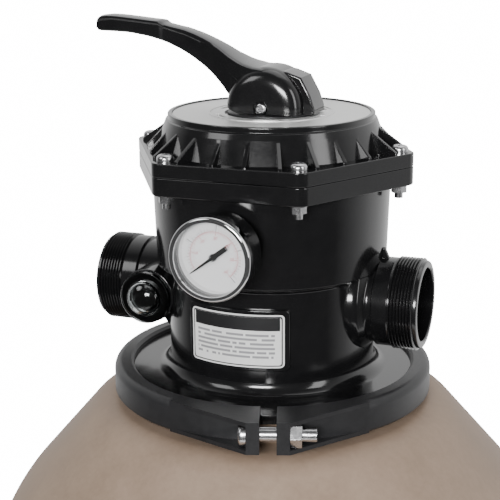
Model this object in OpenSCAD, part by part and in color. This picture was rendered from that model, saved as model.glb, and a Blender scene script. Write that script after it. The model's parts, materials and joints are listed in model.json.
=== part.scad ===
// Sand filter: moulded tank on a base skirt, with a six-way top-mount selector valve.
// +Z is up, -Y is the front (gauge and label), the ports point along +X, -X and +Y.
// The origin is the centre of the base, on the floor.

/* [Tank] */
// Outside diameter of the tank
tank_d = 450; // [370:1:560]
// Height from the floor to the underside of the neck clamp
tank_h = 620; // [500:1:800]
// Wall thickness of the tank
tank_wall = 6; // [4:0.5:9]
// Slope of the straight part of the shoulder, in degrees
shoulder_slope = 49; // [42:1:55]
// Radius that joins the shoulder to the side
knuckle_r = 163; // [110:1:190]
// Radius of the rolled edge of the raised seat at the neck
seat_edge_r = 30; // [20:1:36]
// How far the raised seat lies below the clamp
seat_drop = 5.7; // [3:0.1:12]
// How much smaller the waist is than the side, on the radius
waist_inset = 39; // [30:1:50]
// Height of the waist's lower edge above the floor
waist_z = 100; // [80:1:130]
// Height of the straight waist
waist_h = 56; // [50:1:80]
// Height over which the waist flares out to the side
flare_h = 60; // [40:1:90]
// Depth of the bottom dish
dish_h = 60; // [40:1:70]

/* [Base] */
// Wall thickness of the base skirt
base_wall = 6; // [4:0.5:9]
// Thickness of the foot ring
foot_t = 8; // [6:0.5:12]
// How far the foot ring reaches outside the skirt
foot_out = 23; // [20:1:28]
// Radius of each anchor hole in the foot ring
anchor_r = 5.5; // [4:0.5:7]
// Number of anchor holes
anchor_count = 4; // [3:1:8]

/* [Neck and clamp] */
// Bore radius of the tank neck
neck_bore_r = 88; // [80:1:96]
// Wall thickness of the neck
neck_wall = 15; // [12:0.5:18]
// How far both neck flanges stand out from the neck
neck_lip = 9; // [8:0.5:12]
// Thickness of each neck flange
neck_flange_t = 7; // [6:0.5:9]
// Thickness of the clamp's upper and lower lips
clamp_lip_t = 4.5; // [3.5:0.5:6]
// Thickness of the clamp's outer band
clamp_band = 6.5; // [5:0.5:9]
// Gap between the two clamp halves
clamp_gap = 11.6; // [8:0.2:16]
// Thickness of each clamp lug
lug_t = 9; // [7:0.5:12]
// How far each lug reaches beyond the clamp's outer band
lug_out = 16.5; // [16:0.5:22]
// Turn of the clamp's gap from the front, in degrees
clamp_turn = 18; // [0:1:40]
// Diameter of the clamp bolts
clamp_bolt_d = 9.8; // [8:0.2:10]

/* [Valve body] */
// Outside radius of the lower drum
lower_r = 77; // [72:0.5:82]
// Outside radius of the upper drum at the ledge
upper_r = 85.5; // [82:0.5:90]
// Wall thickness of the housing
body_wall = 6; // [4:0.5:7]
// Height of the ledge between the drums above the clamp's underside
ledge_z = 99; // [96:0.5:112]
// Height of the joint between body and cover above the clamp's underside
joint_z = 175; // [168:1:190]
// Thickness of the body's hexagonal flange
body_flange_t = 13; // [10:0.5:16]
// Radius of the circle that the cover screws stand on
screw_circle_r = 96; // [94:0.5:104]
// Radius of the corner bosses
corner_r = 10; // [9:0.5:13]
// Diameter of the cover screws
screw_d = 6; // [5:0.5:6.5]

/* [Ports] */
// Height of the port axes above the clamp's underside
port_z = 74; // [70:0.5:76]
// Distance of the right and back port faces from the valve's axis
port_reach = 118; // [112:1:140]
// Distance of the left port's face from the valve's axis
left_reach = 132; // [130:1:150]
// Radius of each port's socket
socket_r = 26.8; // [24:0.1:27.5]
// Depth of each port's socket
socket_depth = 30; // [24:1:34]
// Radius over the port threads
thread_r = 33.7; // [32:0.1:35]
// Thread pitch
thread_pitch = 2.31; // [1.5:0.01:3]
// Number of thread ridges
thread_turns = 8; // [5:1:8]

/* [Cover and plate] */
// Thickness of the cover's hexagonal flange
cover_flange_t = 10; // [8:0.5:14]
// Height of the cover from the joint to the top of its rim
cover_h = 35; // [32:0.5:42]
// Outside radius of the cover's rim
rim_r = 75.5; // [74:0.5:80]
// Width of the rim
rim_w = 3.5; // [2.5:0.5:5]
// Number of gusset ribs
rib_count = 24; // [12:12:36]
// Thickness of each gusset rib
rib_t = 3.2; // [2:0.2:4]
// Thickness of the position plate
plate_t = 1.5; // [1:0.25:2.5]

/* [Handle] */
// Reach of the handle's tip from the valve's axis
handle_reach = 136; // [120:1:175]
// Rise of the grip above the pivot
handle_rise = 61; // [52:1:74]
// Radius of the hub
hub_r = 29; // [28:1:36]
// Half width of the hub
hub_half_w = 24; // [20:1:28]
// Half width of the grip
grip_half_w = 10; // [8:1:14]
// Diameter of the pivot screw
pin_d = 5; // [4:0.1:6.5]
// Radius of the shaft
shaft_r = 12; // [10:0.5:13]
// Lift of the rotor at the end of the handle's stroke
lift = 5.5; // [4:0.1:6]

/* [Gauge] */
// Outside radius of the gauge bezel
bezel_r = 29; // [24:0.5:36]
// Depth of the gauge from bezel to case back
gauge_depth = 30; // [26:0.5:36]
// Distance of the gauge's face from the valve's axis
gauge_reach = 126; // [122:1:140]
// Height of the gauge's axis above the clamp's underside
gauge_z = 130; // [129:0.5:134]

/* [Sight glass] */
// Distance of the sight glass from the valve's axis
sight_x = 82; // [80:0.5:90]
// Radius of the sight-glass boss
sight_r = 20.4; // [18:0.1:22]

/* [Label] */
// Width of the label, measured straight across
label_w = 69; // [50:1:80]
// Height of the label
label_h = 39; // [30:1:46]
// Margin of the raised pad around the label
pad_margin = 3; // [2:0.5:5]

/* [Inside the tank] */
// Outside radius of the standpipe
standpipe_r = 25; // [20:0.5:26]
// Wall thickness of the pipes
pipe_wall = 3; // [2:0.5:4]
// Height of the laterals above the floor
lateral_z = 112; // [106:1:120]
// Outside radius of each lateral
lateral_r = 11; // [8:0.5:13]
// Slots along each lateral
slot_count = 9; // [4:1:12]

/* [Drain] */
// Height of the drain above the floor
drain_z = 128; // [126:1:132]
// Bore radius of the drain
drain_bore_r = 10; // [7:0.5:11]
// Travel of the drain cap along its thread
cap_travel = 6; // [4:0.5:8]

/* [Fits] */
// Radial clearance of turning and sliding pins
running_fit = 0.05; // [0.02:0.01:0.1]
// Gap between pieces that move past each other
move_gap = 0.4; // [0.3:0.05:0.8]
// Radial clearance of parts that are put together by hand
loose_fit = 0.3; // [0.2:0.05:0.6]
// Radial clearance of screws in their holes
screw_fit = 0.25; // [0.15:0.05:0.5]

/* [Hidden] */
$fn = 72;

// Overlap that lets a cut run past a face
cut = 1;

// Radial gap between the tank's waist and the base skirt
seat_gap = 0.5;
// How far the foot ring reaches inside the tank's waist
foot_in = 24;

// Tank
tank_r = tank_d / 2;
waist_r = tank_r - waist_inset;
waist_top = waist_z + waist_h;
side_z = waist_top + flare_h;
shoulder_start_r = neck_bore_r + neck_wall + 37;
seat_top = tank_h - seat_drop;
seat_corner = [shoulder_start_r - seat_edge_r * sin(shoulder_slope), seat_top - seat_edge_r];
shoulder_top = seat_corner + seat_edge_r * [sin(shoulder_slope), cos(shoulder_slope)];
knuckle_x = tank_r - knuckle_r;
shoulder_end_r = knuckle_x + knuckle_r * sin(shoulder_slope);
shoulder_end_z = shoulder_top[1] - (shoulder_end_r - shoulder_top[0]) * tan(shoulder_slope);
knuckle_z = shoulder_end_z - knuckle_r * cos(shoulder_slope);

// Base
skirt_in_r = waist_r + seat_gap;
skirt_r = skirt_in_r + base_wall;
foot_r = skirt_r + foot_out;
foot_in_r = waist_r - foot_in;
anchor_circle_r = skirt_r + foot_out / 2;
skirt_top = waist_top - 14;

// Neck and clamp, heights above the clamp's underside
neck_r = neck_bore_r + neck_wall;
neck_flange_r = neck_r + neck_lip;
neck_joint_z = clamp_lip_t + neck_flange_t;
clamp_h = 2 * (clamp_lip_t + neck_flange_t);
clamp_channel_r = neck_flange_r + 1.5;
clamp_r = clamp_channel_r + clamp_band;
clamp_lip_r = neck_r + 2.5;
clamp_round = 6;
lug_reach = clamp_r + lug_out;
lug_side = clamp_gap / 2 + lug_t;
tangent_a = atan2(lug_side, lug_reach) + acos(clamp_r / norm([lug_reach, lug_side]));
lug_web_t = 3;
bolt_u = clamp_r + lug_out / 2;
bolt_z = clamp_h / 2;
bolt_head_r = 8;
bolt_head_h = 5.5;
bolt_nut_flats = 16;
bolt_nut_h = 8;
bolt_end = 10;
neck_seal_d = neck_flange_t / 2;
neck_seal_r = neck_r - 6.5;

// Valve body
spigot_r = neck_bore_r - loose_fit;
spigot_wall = 5;
body_base_z = neck_joint_z;
base_flange_top = neck_joint_z + neck_flange_t;
cove_r = 10;
upper_draft = 2;
upper_top_r = upper_r + upper_draft;
lower_in_r = lower_r - body_wall;
chamber_r = upper_r - body_wall;
flange_under_z = joint_z - body_flange_t;
seat_z = ledge_z + 19;
seat_t = 6;
seat_window_in = 26;
seat_window_out = chamber_r - 13;
seat_rib = 8;
cell_wall = 4;
tube_r = standpipe_r + running_fit;
tube_wall = 5;
tube_low = neck_joint_z - 36;
tube_top = port_z - 14;
hex_apothem = screw_circle_r * cos(30) + corner_r;
cover_seal_d = 3.5;
cover_seal_r = upper_top_r - 4;

// Ports
neck_out_r = socket_r + 3.7;
collar_out_r = thread_r - 1.2;
thread_root_r = thread_r - 1.7;
thread_lead = 2.5;
thread_len = thread_turns * thread_pitch;
collar_len = 13;
port_root_r = thread_r + 2;
port_root_x = upper_top_r + 3;
passage_r = socket_r - 4.8;
gusset_t = 5;
// Port turns and reaches: right, back, left
port_list = [[0, port_reach], [90, port_reach], [180, left_reach]];

// Sight glass, distances from the valve's axis towards the front
sight_face = 46;
sight_hole_r = sight_r - 6;
sight_ring_r = sight_r - 1;
sight_ring_t = 5;
sight_seal_t = 2;
sight_dome_r = 13.5;
sight_dome_h = 8;
sight_wall = 2.5;

// Label pad
pad_r = lower_r + 2.6;
label_t = 0.4;
label_z = port_z - 14;
label_corner = 3;

// Cover, heights above the clamp's underside
cover_top = joint_z + cover_h;
cone_base_r = rim_r + 8.5;
cone_top_r = rim_r + 1.5;
plate_r = rim_r - rim_w;
plate_top = cover_top - 1;
plate_floor = plate_top - plate_t;
cover_deck_t = 8.5;
deck_under = plate_floor - cover_deck_t;
dome_r = rim_r - rim_w;
hub_len = 7;
hub_under = deck_under - hub_len;
gland_r = shaft_r + running_fit;
gland_wall = 8;
spring_washer_t = 2;
spring_top = hub_under - spring_washer_t;
plate_hole_r = 34;
washer_r = plate_hole_r - 2;
washer_top = plate_top + 1;
rib_foot_t = 2;
rib_inset = 3;
rib_top_z = cover_top - 8;
slot_mid_r = 40;
slot_w = 3;

// Cover screws, heights above the clamp's underside
screw_head_r = screw_d + 0.2;
screw_head_h = 5;
screw_round = 3;
screw_washer_t = 1.2;
screw_nut_h = 4.8;
screw_nut_flats = 10;
screw_top = joint_z + cover_flange_t;
screw_nut_z = flange_under_z - screw_washer_t - screw_nut_h;
screw_end = screw_nut_z - 4;

// Rotor, heights above the clamp's underside
gasket_t = 3;
rotor_low = seat_z + gasket_t + 0.3;
rotor_disc_t = 6;
rotor_r = min(dome_r, chamber_r) - 2;
spring_seat_z = rotor_low + 29;
rotor_hub_r = shaft_r + 4.5;
rotor_hub_top = spring_seat_z + 8;
shaft_low = rotor_low + 12;
spring_wire_r = 2.2;
spring_r = rotor_hub_r + spring_wire_r + 4;
spring_turns = 5;
seal_ring_r = 1.2;
seal_z = [hub_under + 4, hub_under + 10];

// Handle and its pivot, heights above the clamp's underside
handle_under = washer_top + move_gap;
pin_r = pin_d / 2;
pin_wall = 1.5;
pin_z = handle_under + pin_wall + pin_r;
pin_head_r = pin_r + 1.9;
pin_head_h = 3;
pin_nut_flats = 2 * (pin_r + pin_wall);
pin_nut_h = 4;
pin_nut_y = hub_half_w - pin_nut_h;
press_angle = 18;
toe_x = lift / sin(press_angle) - 2 * move_gap;
tongue_half_w = 9;
tongue_top = pin_z + 9.7;
tongue_swing_r = norm([shaft_r, tongue_top - pin_z]) + 0.6;
grip_z = pin_z + handle_rise;
grip_end = 0.53 * handle_reach;
cap_rib = 5;
tab_x = hub_r + 7.5;
tab_half_w = 13;
tip_x = -handle_reach;
arm_top = concat(
    [[tip_x, grip_z - 13], [tip_x + 1.5, grip_z - 4], [tip_x + 4, grip_z]],
    [[tip_x + 20, grip_z + 1.4]],
    [[-grip_end, grip_z - 3], [-grip_end + 3.5, grip_z - 5]],
    cubic([[-grip_end + 7, grip_z - 6], [-0.3 * handle_reach, grip_z - 12],
        [-0.18 * handle_reach, pin_z + hub_r + 3], [0, pin_z + hub_r - 0.4]], 10));
arm_under = cubic([[tip_x + 9, grip_z - 14.5], [-0.63 * handle_reach, grip_z - 14.5],
    [-0.35 * handle_reach, pin_z + 35], [-toe_x - 4, pin_z + 3]], 12);
ridge_line = concat(
    [[tip_x + 5, grip_z - 5], [-grip_end, grip_z - 9]],
    cubic([[-grip_end + 8, grip_z - 12], [-0.36 * handle_reach, grip_z - 18],
        [-0.24 * handle_reach, pin_z + 28], [-toe_x - 1, pin_z + 6]], 8));

// Gauge, distances from the valve's axis towards the front
case_back = gauge_reach - gauge_depth;
case_r = bezel_r - 2;
case_wall = 1.5;
bezel_len = 7;
bezel_lip = 3.5;
lens_t = 1.6;
lens_front = gauge_reach - 1;
lens_back = lens_front - lens_t;
dial_front = gauge_reach - 10;
dial_t = 0.8;
pointer_back = dial_front + 1.6;
pointer_t = 0.8;
pointer_len = 0.7 * bezel_r;
pointer_angle = 217;
arbor_r = 1;
movement_w = 18;
stem_r = 6.5;
stem_hex = 14;
stem_back = chamber_r + 2;
gauge_boss_r = 13;
gauge_boss_face = upper_r + 5;

// Inside the tank
hub_top = lateral_z + 16;
hub_bottom = lateral_z - 16;
lateral_hub_r = 40;
lateral_len = 120;
lateral_end_wall = 3;
lateral_start = standpipe_r + 4;
lateral_end = min(lateral_start + lateral_len, waist_r - tank_wall - 12);
slot_pitch = (lateral_end - lateral_start - 22) / slot_count;
slot_t = 1.5;
diffuser_r = neck_bore_r - 16;
diffuser_top = tank_h + tube_low;
diffuser_t = 4;

// Drain, distances from the tank's axis towards the front
drain_boss_r = 28;
drain_face = waist_r + 5;
drain_inner_face = waist_r - tank_wall - 6;
drain_tube_r = drain_bore_r + 6.8;
drain_gasket_t = 2;
collar_back = drain_face + drain_gasket_t;
drain_collar_t = 5;
drain_collar_r = drain_tube_r + 8;
drain_nose_r = drain_bore_r + 5.5;
drain_nose_len = 15;
drain_nose_end = collar_back + drain_collar_t + drain_nose_len;
drain_inner_end = drain_inner_face - 10;
drain_nut_t = 8;
cap_washer_t = 2;
cap_gap = 0.2;
cap_inside = drain_nose_end + cap_gap + cap_washer_t;
cap_wall = 4;
cap_rim = collar_back + drain_collar_t + 1;
cap_bore_r = drain_nose_r + move_gap;

black = "#141416";
band_black = "#262629";
beige = "#a59484";
steel = "#b9bcc0";
rubber = "#1c1c1c";

// Points of an arc round c, from angle a0 to a1
function arc(c, r, a0, a1, n = 8) =
    [for (i = [0:n]) let (a = a0 + (a1 - a0) * i / n) c + r * [cos(a), sin(a)]];

// Points of a cubic curve with four control points
function cubic(p, n = 12) =
    [for (i = [0:n]) let (t = i / n, s = 1 - t)
        s * s * s * p[0] + 3 * s * s * t * p[1] + 3 * s * t * t * p[2] + t * t * t * p[3]];

function reversed(list) = [for (i = [len(list) - 1:-1:0]) list[i]];

// Tank outline from the dish to the seat, moved inwards by t
function tank_outline(t) = concat(
    [for (i = [0:12]) [(waist_r - t) * sin(7.5 * i), waist_z - (dish_h - t) * cos(7.5 * i)]],
    [for (i = [0:10])
        [waist_r - t + waist_inset * (1 - cos(18 * i)) / 2, waist_top + flare_h * i / 10]],
    arc([knuckle_x, knuckle_z], knuckle_r - t, 0, 90 - shoulder_slope, 10),
    arc(seat_corner, seat_edge_r - t, 90 - shoulder_slope, 90, 8));

module at_valve() {
    translate([0, 0, tank_h]) children();
}

// Turns a shape drawn up the Z axis so that it runs towards the front
module to_front() {
    rotate([90, 0, 0]) children();
}

module ring(r_out, r_in, h) {
    difference() {
        cylinder(r = r_out, h = h);
        translate([0, 0, -cut]) cylinder(r = r_in, h = h + 2 * cut);
    }
}

module hex_prism(flats, h) {
    cylinder(r = flats / 2 / cos(30), h = h, $fn = 6);
}

// Torus with a round section
module round_ring(r, d) {
    rotate_extrude() translate([r, 0]) circle(d = d, $fn = 24);
}

module around_screws() {
    for (i = [0:5]) {
        rotate([0, 0, 60 * i]) translate([screw_circle_r, 0, 0]) children();
    }
}

// ---- Tank and base ----

module tank_body(t) {
    neck = t > 0 ? neck_bore_r : neck_r;
    rotate_extrude($fn = 120) polygon(concat(tank_outline(t),
        t > 0 ? [[neck, seat_top - t], [neck, tank_h + neck_joint_z + cut],
                [0, tank_h + neck_joint_z + cut]]
            : [[neck, seat_top], [neck, tank_h + clamp_lip_t],
                [neck_flange_r, tank_h + clamp_lip_t],
                [neck_flange_r, tank_h + neck_joint_z], [0, tank_h + neck_joint_z]]));
}

module at_drain() {
    translate([0, 0, drain_z]) to_front() children();
}

module tank_shell() {
    color(beige) difference() {
        union() {
            difference() {
                tank_body(0);
                tank_body(tank_wall);
            }
            at_drain() translate([0, 0, drain_inner_face])
                cylinder(r = drain_boss_r, h = drain_face - drain_inner_face);
        }
        at_drain() translate([0, 0, drain_inner_face - cut])
            cylinder(r = drain_tube_r + screw_fit, h = drain_face - drain_inner_face + 2 * cut);
        translate([0, 0, tank_h + neck_joint_z - neck_seal_d])
            ring(neck_seal_r + neck_seal_d / 2 + loose_fit,
                neck_seal_r - neck_seal_d / 2 - loose_fit, neck_seal_d + cut);
    }
}

module tank_base() {
    color(band_black) difference() {
        rotate_extrude($fn = 120) polygon([
            [foot_in_r, 0], [foot_r, 0], [foot_r, foot_t - 2], [foot_r - 2, foot_t],
            [skirt_r + 4, foot_t], [skirt_r, foot_t + 6], [skirt_r, skirt_top - 6],
            [skirt_r + 3, skirt_top - 3], [skirt_r + 3, skirt_top], [skirt_in_r, skirt_top],
            [skirt_in_r, waist_z + 4], [foot_in_r, waist_z - 8]]);
        rotate_extrude($fn = 120) polygon([
            [foot_in_r - cut, foot_t], [skirt_in_r, foot_t], [skirt_in_r, waist_z - 32],
            [foot_in_r - cut, waist_z - 56]]);
        tank_body(0);
        for (i = [0:anchor_count - 1]) {
            rotate([0, 0, 45 + 360 / anchor_count * i])
                translate([anchor_circle_r, 0, -cut])
                    cylinder(r = anchor_r, h = foot_t + 2 * cut);
        }
        translate([0, 0, drain_z]) {
            to_front() cylinder(r = drain_boss_r + 4, h = foot_r + cut);
            translate([-drain_boss_r - 4, -foot_r - cut, 0])
                cube([2 * drain_boss_r + 8, foot_r + cut, skirt_top]);
        }
    }
}

module tank_o_ring() {
    color(rubber) at_valve() translate([0, 0, neck_joint_z - neck_seal_d / 2])
        round_ring(neck_seal_r, neck_seal_d);
}

// ---- Neck clamp: u runs through the gap, v across it ----

module clamp_place() {
    at_valve() rotate([0, 0, clamp_turn - 90]) children();
}

module lug_outline() {
    difference() {
        polygon([[clamp_channel_r - 10, clamp_gap / 2], [lug_reach, clamp_gap / 2],
            [lug_reach, lug_side], clamp_r * [cos(tangent_a), sin(tangent_a)],
            (clamp_channel_r - 10) * [cos(tangent_a), sin(tangent_a)]]);
        circle(r = clamp_channel_r);
    }
}

module clamp_lug() {
    difference() {
        linear_extrude(clamp_h) lug_outline();
        translate([0, 0, lug_web_t]) linear_extrude(clamp_h - 2 * lug_web_t) difference() {
            translate([0, lug_side]) square(2 * lug_reach);
            circle(r = clamp_r);
        }
        translate([bolt_u, 0, bolt_z]) rotate([-90, 0, 0])
            cylinder(d = clamp_bolt_d + 2 * screw_fit, h = lug_side + cut);
    }
}

module clamp_half() {
    difference() {
        rotate_extrude($fn = 120) polygon(concat(
            [[clamp_lip_r, 0], [clamp_r - 2, 0], [clamp_r, 2]],
            arc([clamp_r - clamp_round, clamp_h - clamp_round], clamp_round, 0, 90, 6),
            [[clamp_lip_r + 2, clamp_h], [clamp_lip_r, clamp_h - 2],
                [clamp_lip_r, clamp_h - clamp_lip_t],
                [clamp_channel_r, clamp_h - clamp_lip_t],
                [clamp_channel_r, clamp_lip_t], [clamp_lip_r, clamp_lip_t]]));
        translate([-2 * clamp_r, -4 * clamp_r + clamp_gap / 2, -cut])
            cube([4 * clamp_r, 4 * clamp_r, clamp_h + 2 * cut]);
    }
    clamp_lug();
    mirror([1, 0, 0]) clamp_lug();
}

module clamp_half_left() {
    color(band_black) clamp_place() mirror([0, 1, 0]) clamp_half();
}

module clamp_half_right() {
    color(band_black) clamp_place() clamp_half();
}

module clamp_bolts() {
    color(steel) clamp_place() for (turn = [0, 180]) {
        rotate([0, 0, turn]) translate([bolt_u, -lug_side - bolt_head_h, bolt_z])
            rotate([-90, 0, 0]) {
                rotate_extrude() polygon(concat([[0, 0]],
                    arc([bolt_head_r - 2.5, 2.5], 2.5, -90, 0, 5),
                    [[bolt_head_r, bolt_head_h], [0, bolt_head_h]]));
                cylinder(d = clamp_bolt_d,
                    h = bolt_head_h + 2 * lug_side + bolt_nut_h + bolt_end);
            }
    }
}

module clamp_nuts() {
    color(steel) clamp_place() for (turn = [0, 180]) {
        rotate([0, 0, turn]) translate([bolt_u, lug_side, bolt_z]) rotate([-90, 0, 0])
            difference() {
                hex_prism(bolt_nut_flats, bolt_nut_h);
                translate([0, 0, -cut]) cylinder(d = clamp_bolt_d, h = bolt_nut_h + 2 * cut);
            }
    }
}

// ---- Valve body ----

module hex_plate(h) {
    linear_extrude(h) {
        polygon([for (i = [0:5], s = [-30, 30]) let (a = 60 * i)
            screw_circle_r * [cos(a), sin(a)] + corner_r * [cos(a + s), sin(a + s)]]);
        for (i = [0:5]) {
            rotate(60 * i) translate([screw_circle_r, 0]) circle(r = corner_r);
        }
    }
}

module body_outside() {
    rotate_extrude($fn = 120) polygon(concat(
        [[0, body_base_z], [neck_flange_r, body_base_z], [neck_flange_r, base_flange_top]],
        arc([lower_r + cove_r, base_flange_top + cove_r], cove_r, 270, 180, 6),
        [[lower_r, ledge_z], [upper_r, ledge_z], [upper_top_r, flange_under_z],
            [upper_top_r, joint_z], [0, joint_z]]));
    translate([0, 0, body_base_z - 7.5]) cylinder(r = spigot_r, h = 8);
    translate([0, 0, flange_under_z]) hex_plate(body_flange_t);
}

// Port along +X: root, neck, collar and thread ridges
module port_outside(reach) {
    thread_x = reach - thread_lead - thread_len;
    collar_x = thread_x - collar_len;
    rotate([0, 90, 0]) rotate_extrude() polygon(concat(
        [[0, lower_r - body_wall - 10], [port_root_r, lower_r - body_wall - 10],
            [port_root_r, port_root_x - 2], [neck_out_r, port_root_x],
            [neck_out_r, collar_x], [collar_out_r, collar_x + 1],
            [collar_out_r, thread_x - 0.5]],
        [for (i = [0:thread_turns - 1], q = [[thread_root_r, 0.15], [thread_r, 0.4],
            [thread_r, 0.6], [thread_root_r, 0.85]])
            [q[0], thread_x + thread_pitch * (i + q[1])]],
        [[thread_root_r, reach - 1], [thread_root_r - 1, reach], [0, reach]]));
    for (a = [0, 90, 180, 270]) {
        rotate([a, 0, 0]) translate([0, gusset_t / 2, 0]) rotate([90, 0, 0])
            linear_extrude(gusset_t) polygon([[lower_r - 4, neck_out_r - 4],
                [collar_x, neck_out_r - 4], [collar_x, neck_out_r],
                [lower_r - 4, neck_out_r + 12]]);
    }
}

module port_hole(reach) {
    rotate([0, 90, 0]) {
        translate([0, 0, reach - socket_depth]) cylinder(r = socket_r, h = socket_depth + cut);
        translate([0, 0, lower_in_r - 20]) cylinder(r = passage_r, h = reach - lower_in_r);
    }
}

module at_ports() {
    for (p = port_list) {
        translate([0, 0, port_z]) rotate([0, 0, p[0]]) {
            $reach = p[1];
            children();
        }
    }
}

module at_sight() {
    translate([-sight_x, 0, port_z]) to_front() children();
}

module at_gauge() {
    translate([0, 0, gauge_z]) to_front() children();
}

// Upright block with rounded corners that stands in front of the drum
module front_block(w, h, corner) {
    translate([0, 0, label_z]) to_front() linear_extrude(2 * lower_r) {
        square([w, h - 2 * corner], center = true);
        square([w - 2 * corner, h], center = true);
        for (x = [-1, 1], y = [-1, 1]) {
            translate([x * (w / 2 - corner), y * (h / 2 - corner)]) circle(r = corner);
        }
    }
}

module label_pad() {
    intersection() {
        cylinder(r = pad_r, h = joint_z);
        front_block(label_w + 2 * pad_margin, label_h + 2 * pad_margin, label_corner);
    }
}

module body_hollow() {
    translate([0, 0, body_base_z - 10]) cylinder(r = spigot_r - spigot_wall, h = 10);
    translate([0, 0, body_base_z - cut])
        cylinder(r = lower_in_r, h = ledge_z + 13 - body_base_z + cut);
    translate([0, 0, seat_z]) cylinder(r = chamber_r, h = joint_z - seat_z + cut);
}

// One of six openings round the middle, with its two long sides parallel to the ribs
module window(r_in, r_out, rib) {
    apex = rib / 2 / sin(30);
    intersection() {
        difference() {
            circle(r = r_out);
            circle(r = r_in);
        }
        polygon([[apex, 0], [apex + 2 * r_out * cos(30), -r_out],
            [apex + 2 * r_out * cos(30), r_out]]);
    }
}

// Floor, cells, seat and standpipe socket inside the housing
module body_inside() {
    difference() {
        union() {
            translate([0, 0, body_base_z]) cylinder(r = lower_in_r + cut, h = seat_t);
            translate([0, 0, seat_z - seat_t]) cylinder(r = lower_in_r + cut, h = seat_t);
            for (a = [45, 135]) {
                rotate([0, 0, a]) translate([-lower_in_r - cut, -cell_wall / 2, body_base_z])
                    cube([2 * lower_in_r + 2 * cut, cell_wall, seat_z - body_base_z]);
            }
            translate([0, 0, tube_low])
                cylinder(r = tube_r + tube_wall, h = tube_top + tube_wall - tube_low);
        }
        translate([0, 0, tube_low - cut]) cylinder(r = tube_r, h = tube_top - tube_low + cut);
        for (i = [0:5]) {
            rotate([0, 0, 60 * i]) {
                translate([0, 0, body_base_z - cut]) linear_extrude(seat_t + 2 * cut)
                    window(tube_r + tube_wall + 3, lower_in_r - 6, seat_rib);
                translate([0, 0, seat_z - seat_t - cut]) linear_extrude(seat_t + 2 * cut)
                    window(seat_window_in, seat_window_out, seat_rib);
            }
        }
    }
}

module valve_body() {
    color(black) at_valve() difference() {
        union() {
            difference() {
                union() {
                    body_outside();
                    label_pad();
                    at_ports() port_outside($reach);
                    at_sight() cylinder(r = sight_r, h = sight_face);
                    at_gauge() cylinder(r = gauge_boss_r, h = gauge_boss_face);
                }
                body_hollow();
            }
            body_inside();
        }
        at_ports() port_hole($reach);
        at_sight() cylinder(r = sight_hole_r, h = sight_face + cut);
        at_gauge() translate([0, 0, chamber_r - 10])
            cylinder(r = stem_r, h = gauge_boss_face - chamber_r + 10 + cut);
        translate([0, 0, flange_under_z - cut]) around_screws()
            cylinder(d = screw_d + 2 * screw_fit, h = body_flange_t + 2 * cut);
        translate([0, 0, joint_z - cover_seal_d])
            ring(cover_seal_r + cover_seal_d / 2 + loose_fit,
                cover_seal_r - cover_seal_d / 2 - loose_fit, cover_seal_d + cut);
    }
}

// ---- Cover and its fasteners ----

module cover_ribs() {
    for (i = [0:rib_count - 1]) {
        a = 360 / rib_count * (i + 0.5);
        edge_a = abs(a % 60 - 30);
        rib_foot_r = hex_apothem / cos(edge_a) - rib_inset;
        rotate([0, 0, a]) translate([0, rib_t / 2, 0]) rotate([90, 0, 0])
            linear_extrude(rib_t) polygon([[dome_r + 2, joint_z + 2],
                [rib_foot_r, joint_z + 2],
                [rib_foot_r, joint_z + cover_flange_t + rib_foot_t],
                [cone_top_r - 2, rib_top_z + 1], [dome_r + 2, rib_top_z + 1]]);
    }
}

module cover_outside() {
    translate([0, 0, joint_z]) hex_plate(cover_flange_t);
    rotate_extrude($fn = 120) polygon([
        [0, joint_z + cut], [cone_base_r, joint_z + cut],
        [cone_base_r, joint_z + cover_flange_t], [cone_top_r + 1, rib_top_z],
        [cone_top_r, cover_top - 5], [rim_r, cover_top - 4], [rim_r, cover_top - 0.8],
        [rim_r - 0.8, cover_top], [plate_r + loose_fit, cover_top],
        [plate_r + loose_fit, plate_floor], [0, plate_floor]]);
    cover_ribs();
}

module valve_cover() {
    color(black) at_valve() difference() {
        union() {
            difference() {
                cover_outside();
                translate([0, 0, joint_z - cut]) cylinder(r = dome_r, h = deck_under - joint_z + cut);
            }
            translate([0, 0, hub_under]) cylinder(r = gland_r + gland_wall, h = hub_len + cut);
        }
        translate([0, 0, hub_under - cut]) cylinder(r = gland_r, h = cover_top);
        translate([0, 0, joint_z - cut]) around_screws()
            cylinder(d = screw_d + 2 * screw_fit, h = cover_h);
    }
}

module cover_o_ring() {
    color(rubber) at_valve() translate([0, 0, joint_z - cover_seal_d / 2])
        round_ring(cover_seal_r, cover_seal_d);
}

// Cross recess cut into the top of a screw head
module cross_recess(w, l, depth) {
    for (a = [0, 90]) {
        rotate([0, 0, a]) translate([-l / 2, -w / 2, -depth]) cube([l, w, depth + cut]);
    }
}

module cover_screws() {
    color(steel) at_valve() around_screws() difference() {
        union() {
            translate([0, 0, screw_end]) cylinder(d = screw_d, h = screw_top - screw_end + cut);
            translate([0, 0, screw_top]) rotate_extrude() polygon(concat(
                [[0, 0], [screw_head_r, 0]],
                arc([screw_head_r - screw_round, screw_head_h - screw_round], screw_round,
                    0, 90, 6),
                [[0, screw_head_h]]));
        }
        translate([0, 0, screw_top + screw_head_h]) cross_recess(1.4, 6.4, 2.6);
    }
}

module cover_washers() {
    color(steel) at_valve() translate([0, 0, flange_under_z - screw_washer_t])
        around_screws() ring(screw_d + 0.4, screw_d / 2 + screw_fit, screw_washer_t);
}

module cover_nuts() {
    color(steel) at_valve() translate([0, 0, screw_nut_z]) around_screws() difference() {
        hex_prism(screw_nut_flats, screw_nut_h);
        translate([0, 0, -cut]) cylinder(d = screw_d, h = screw_nut_h + 2 * cut);
    }
}

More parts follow.
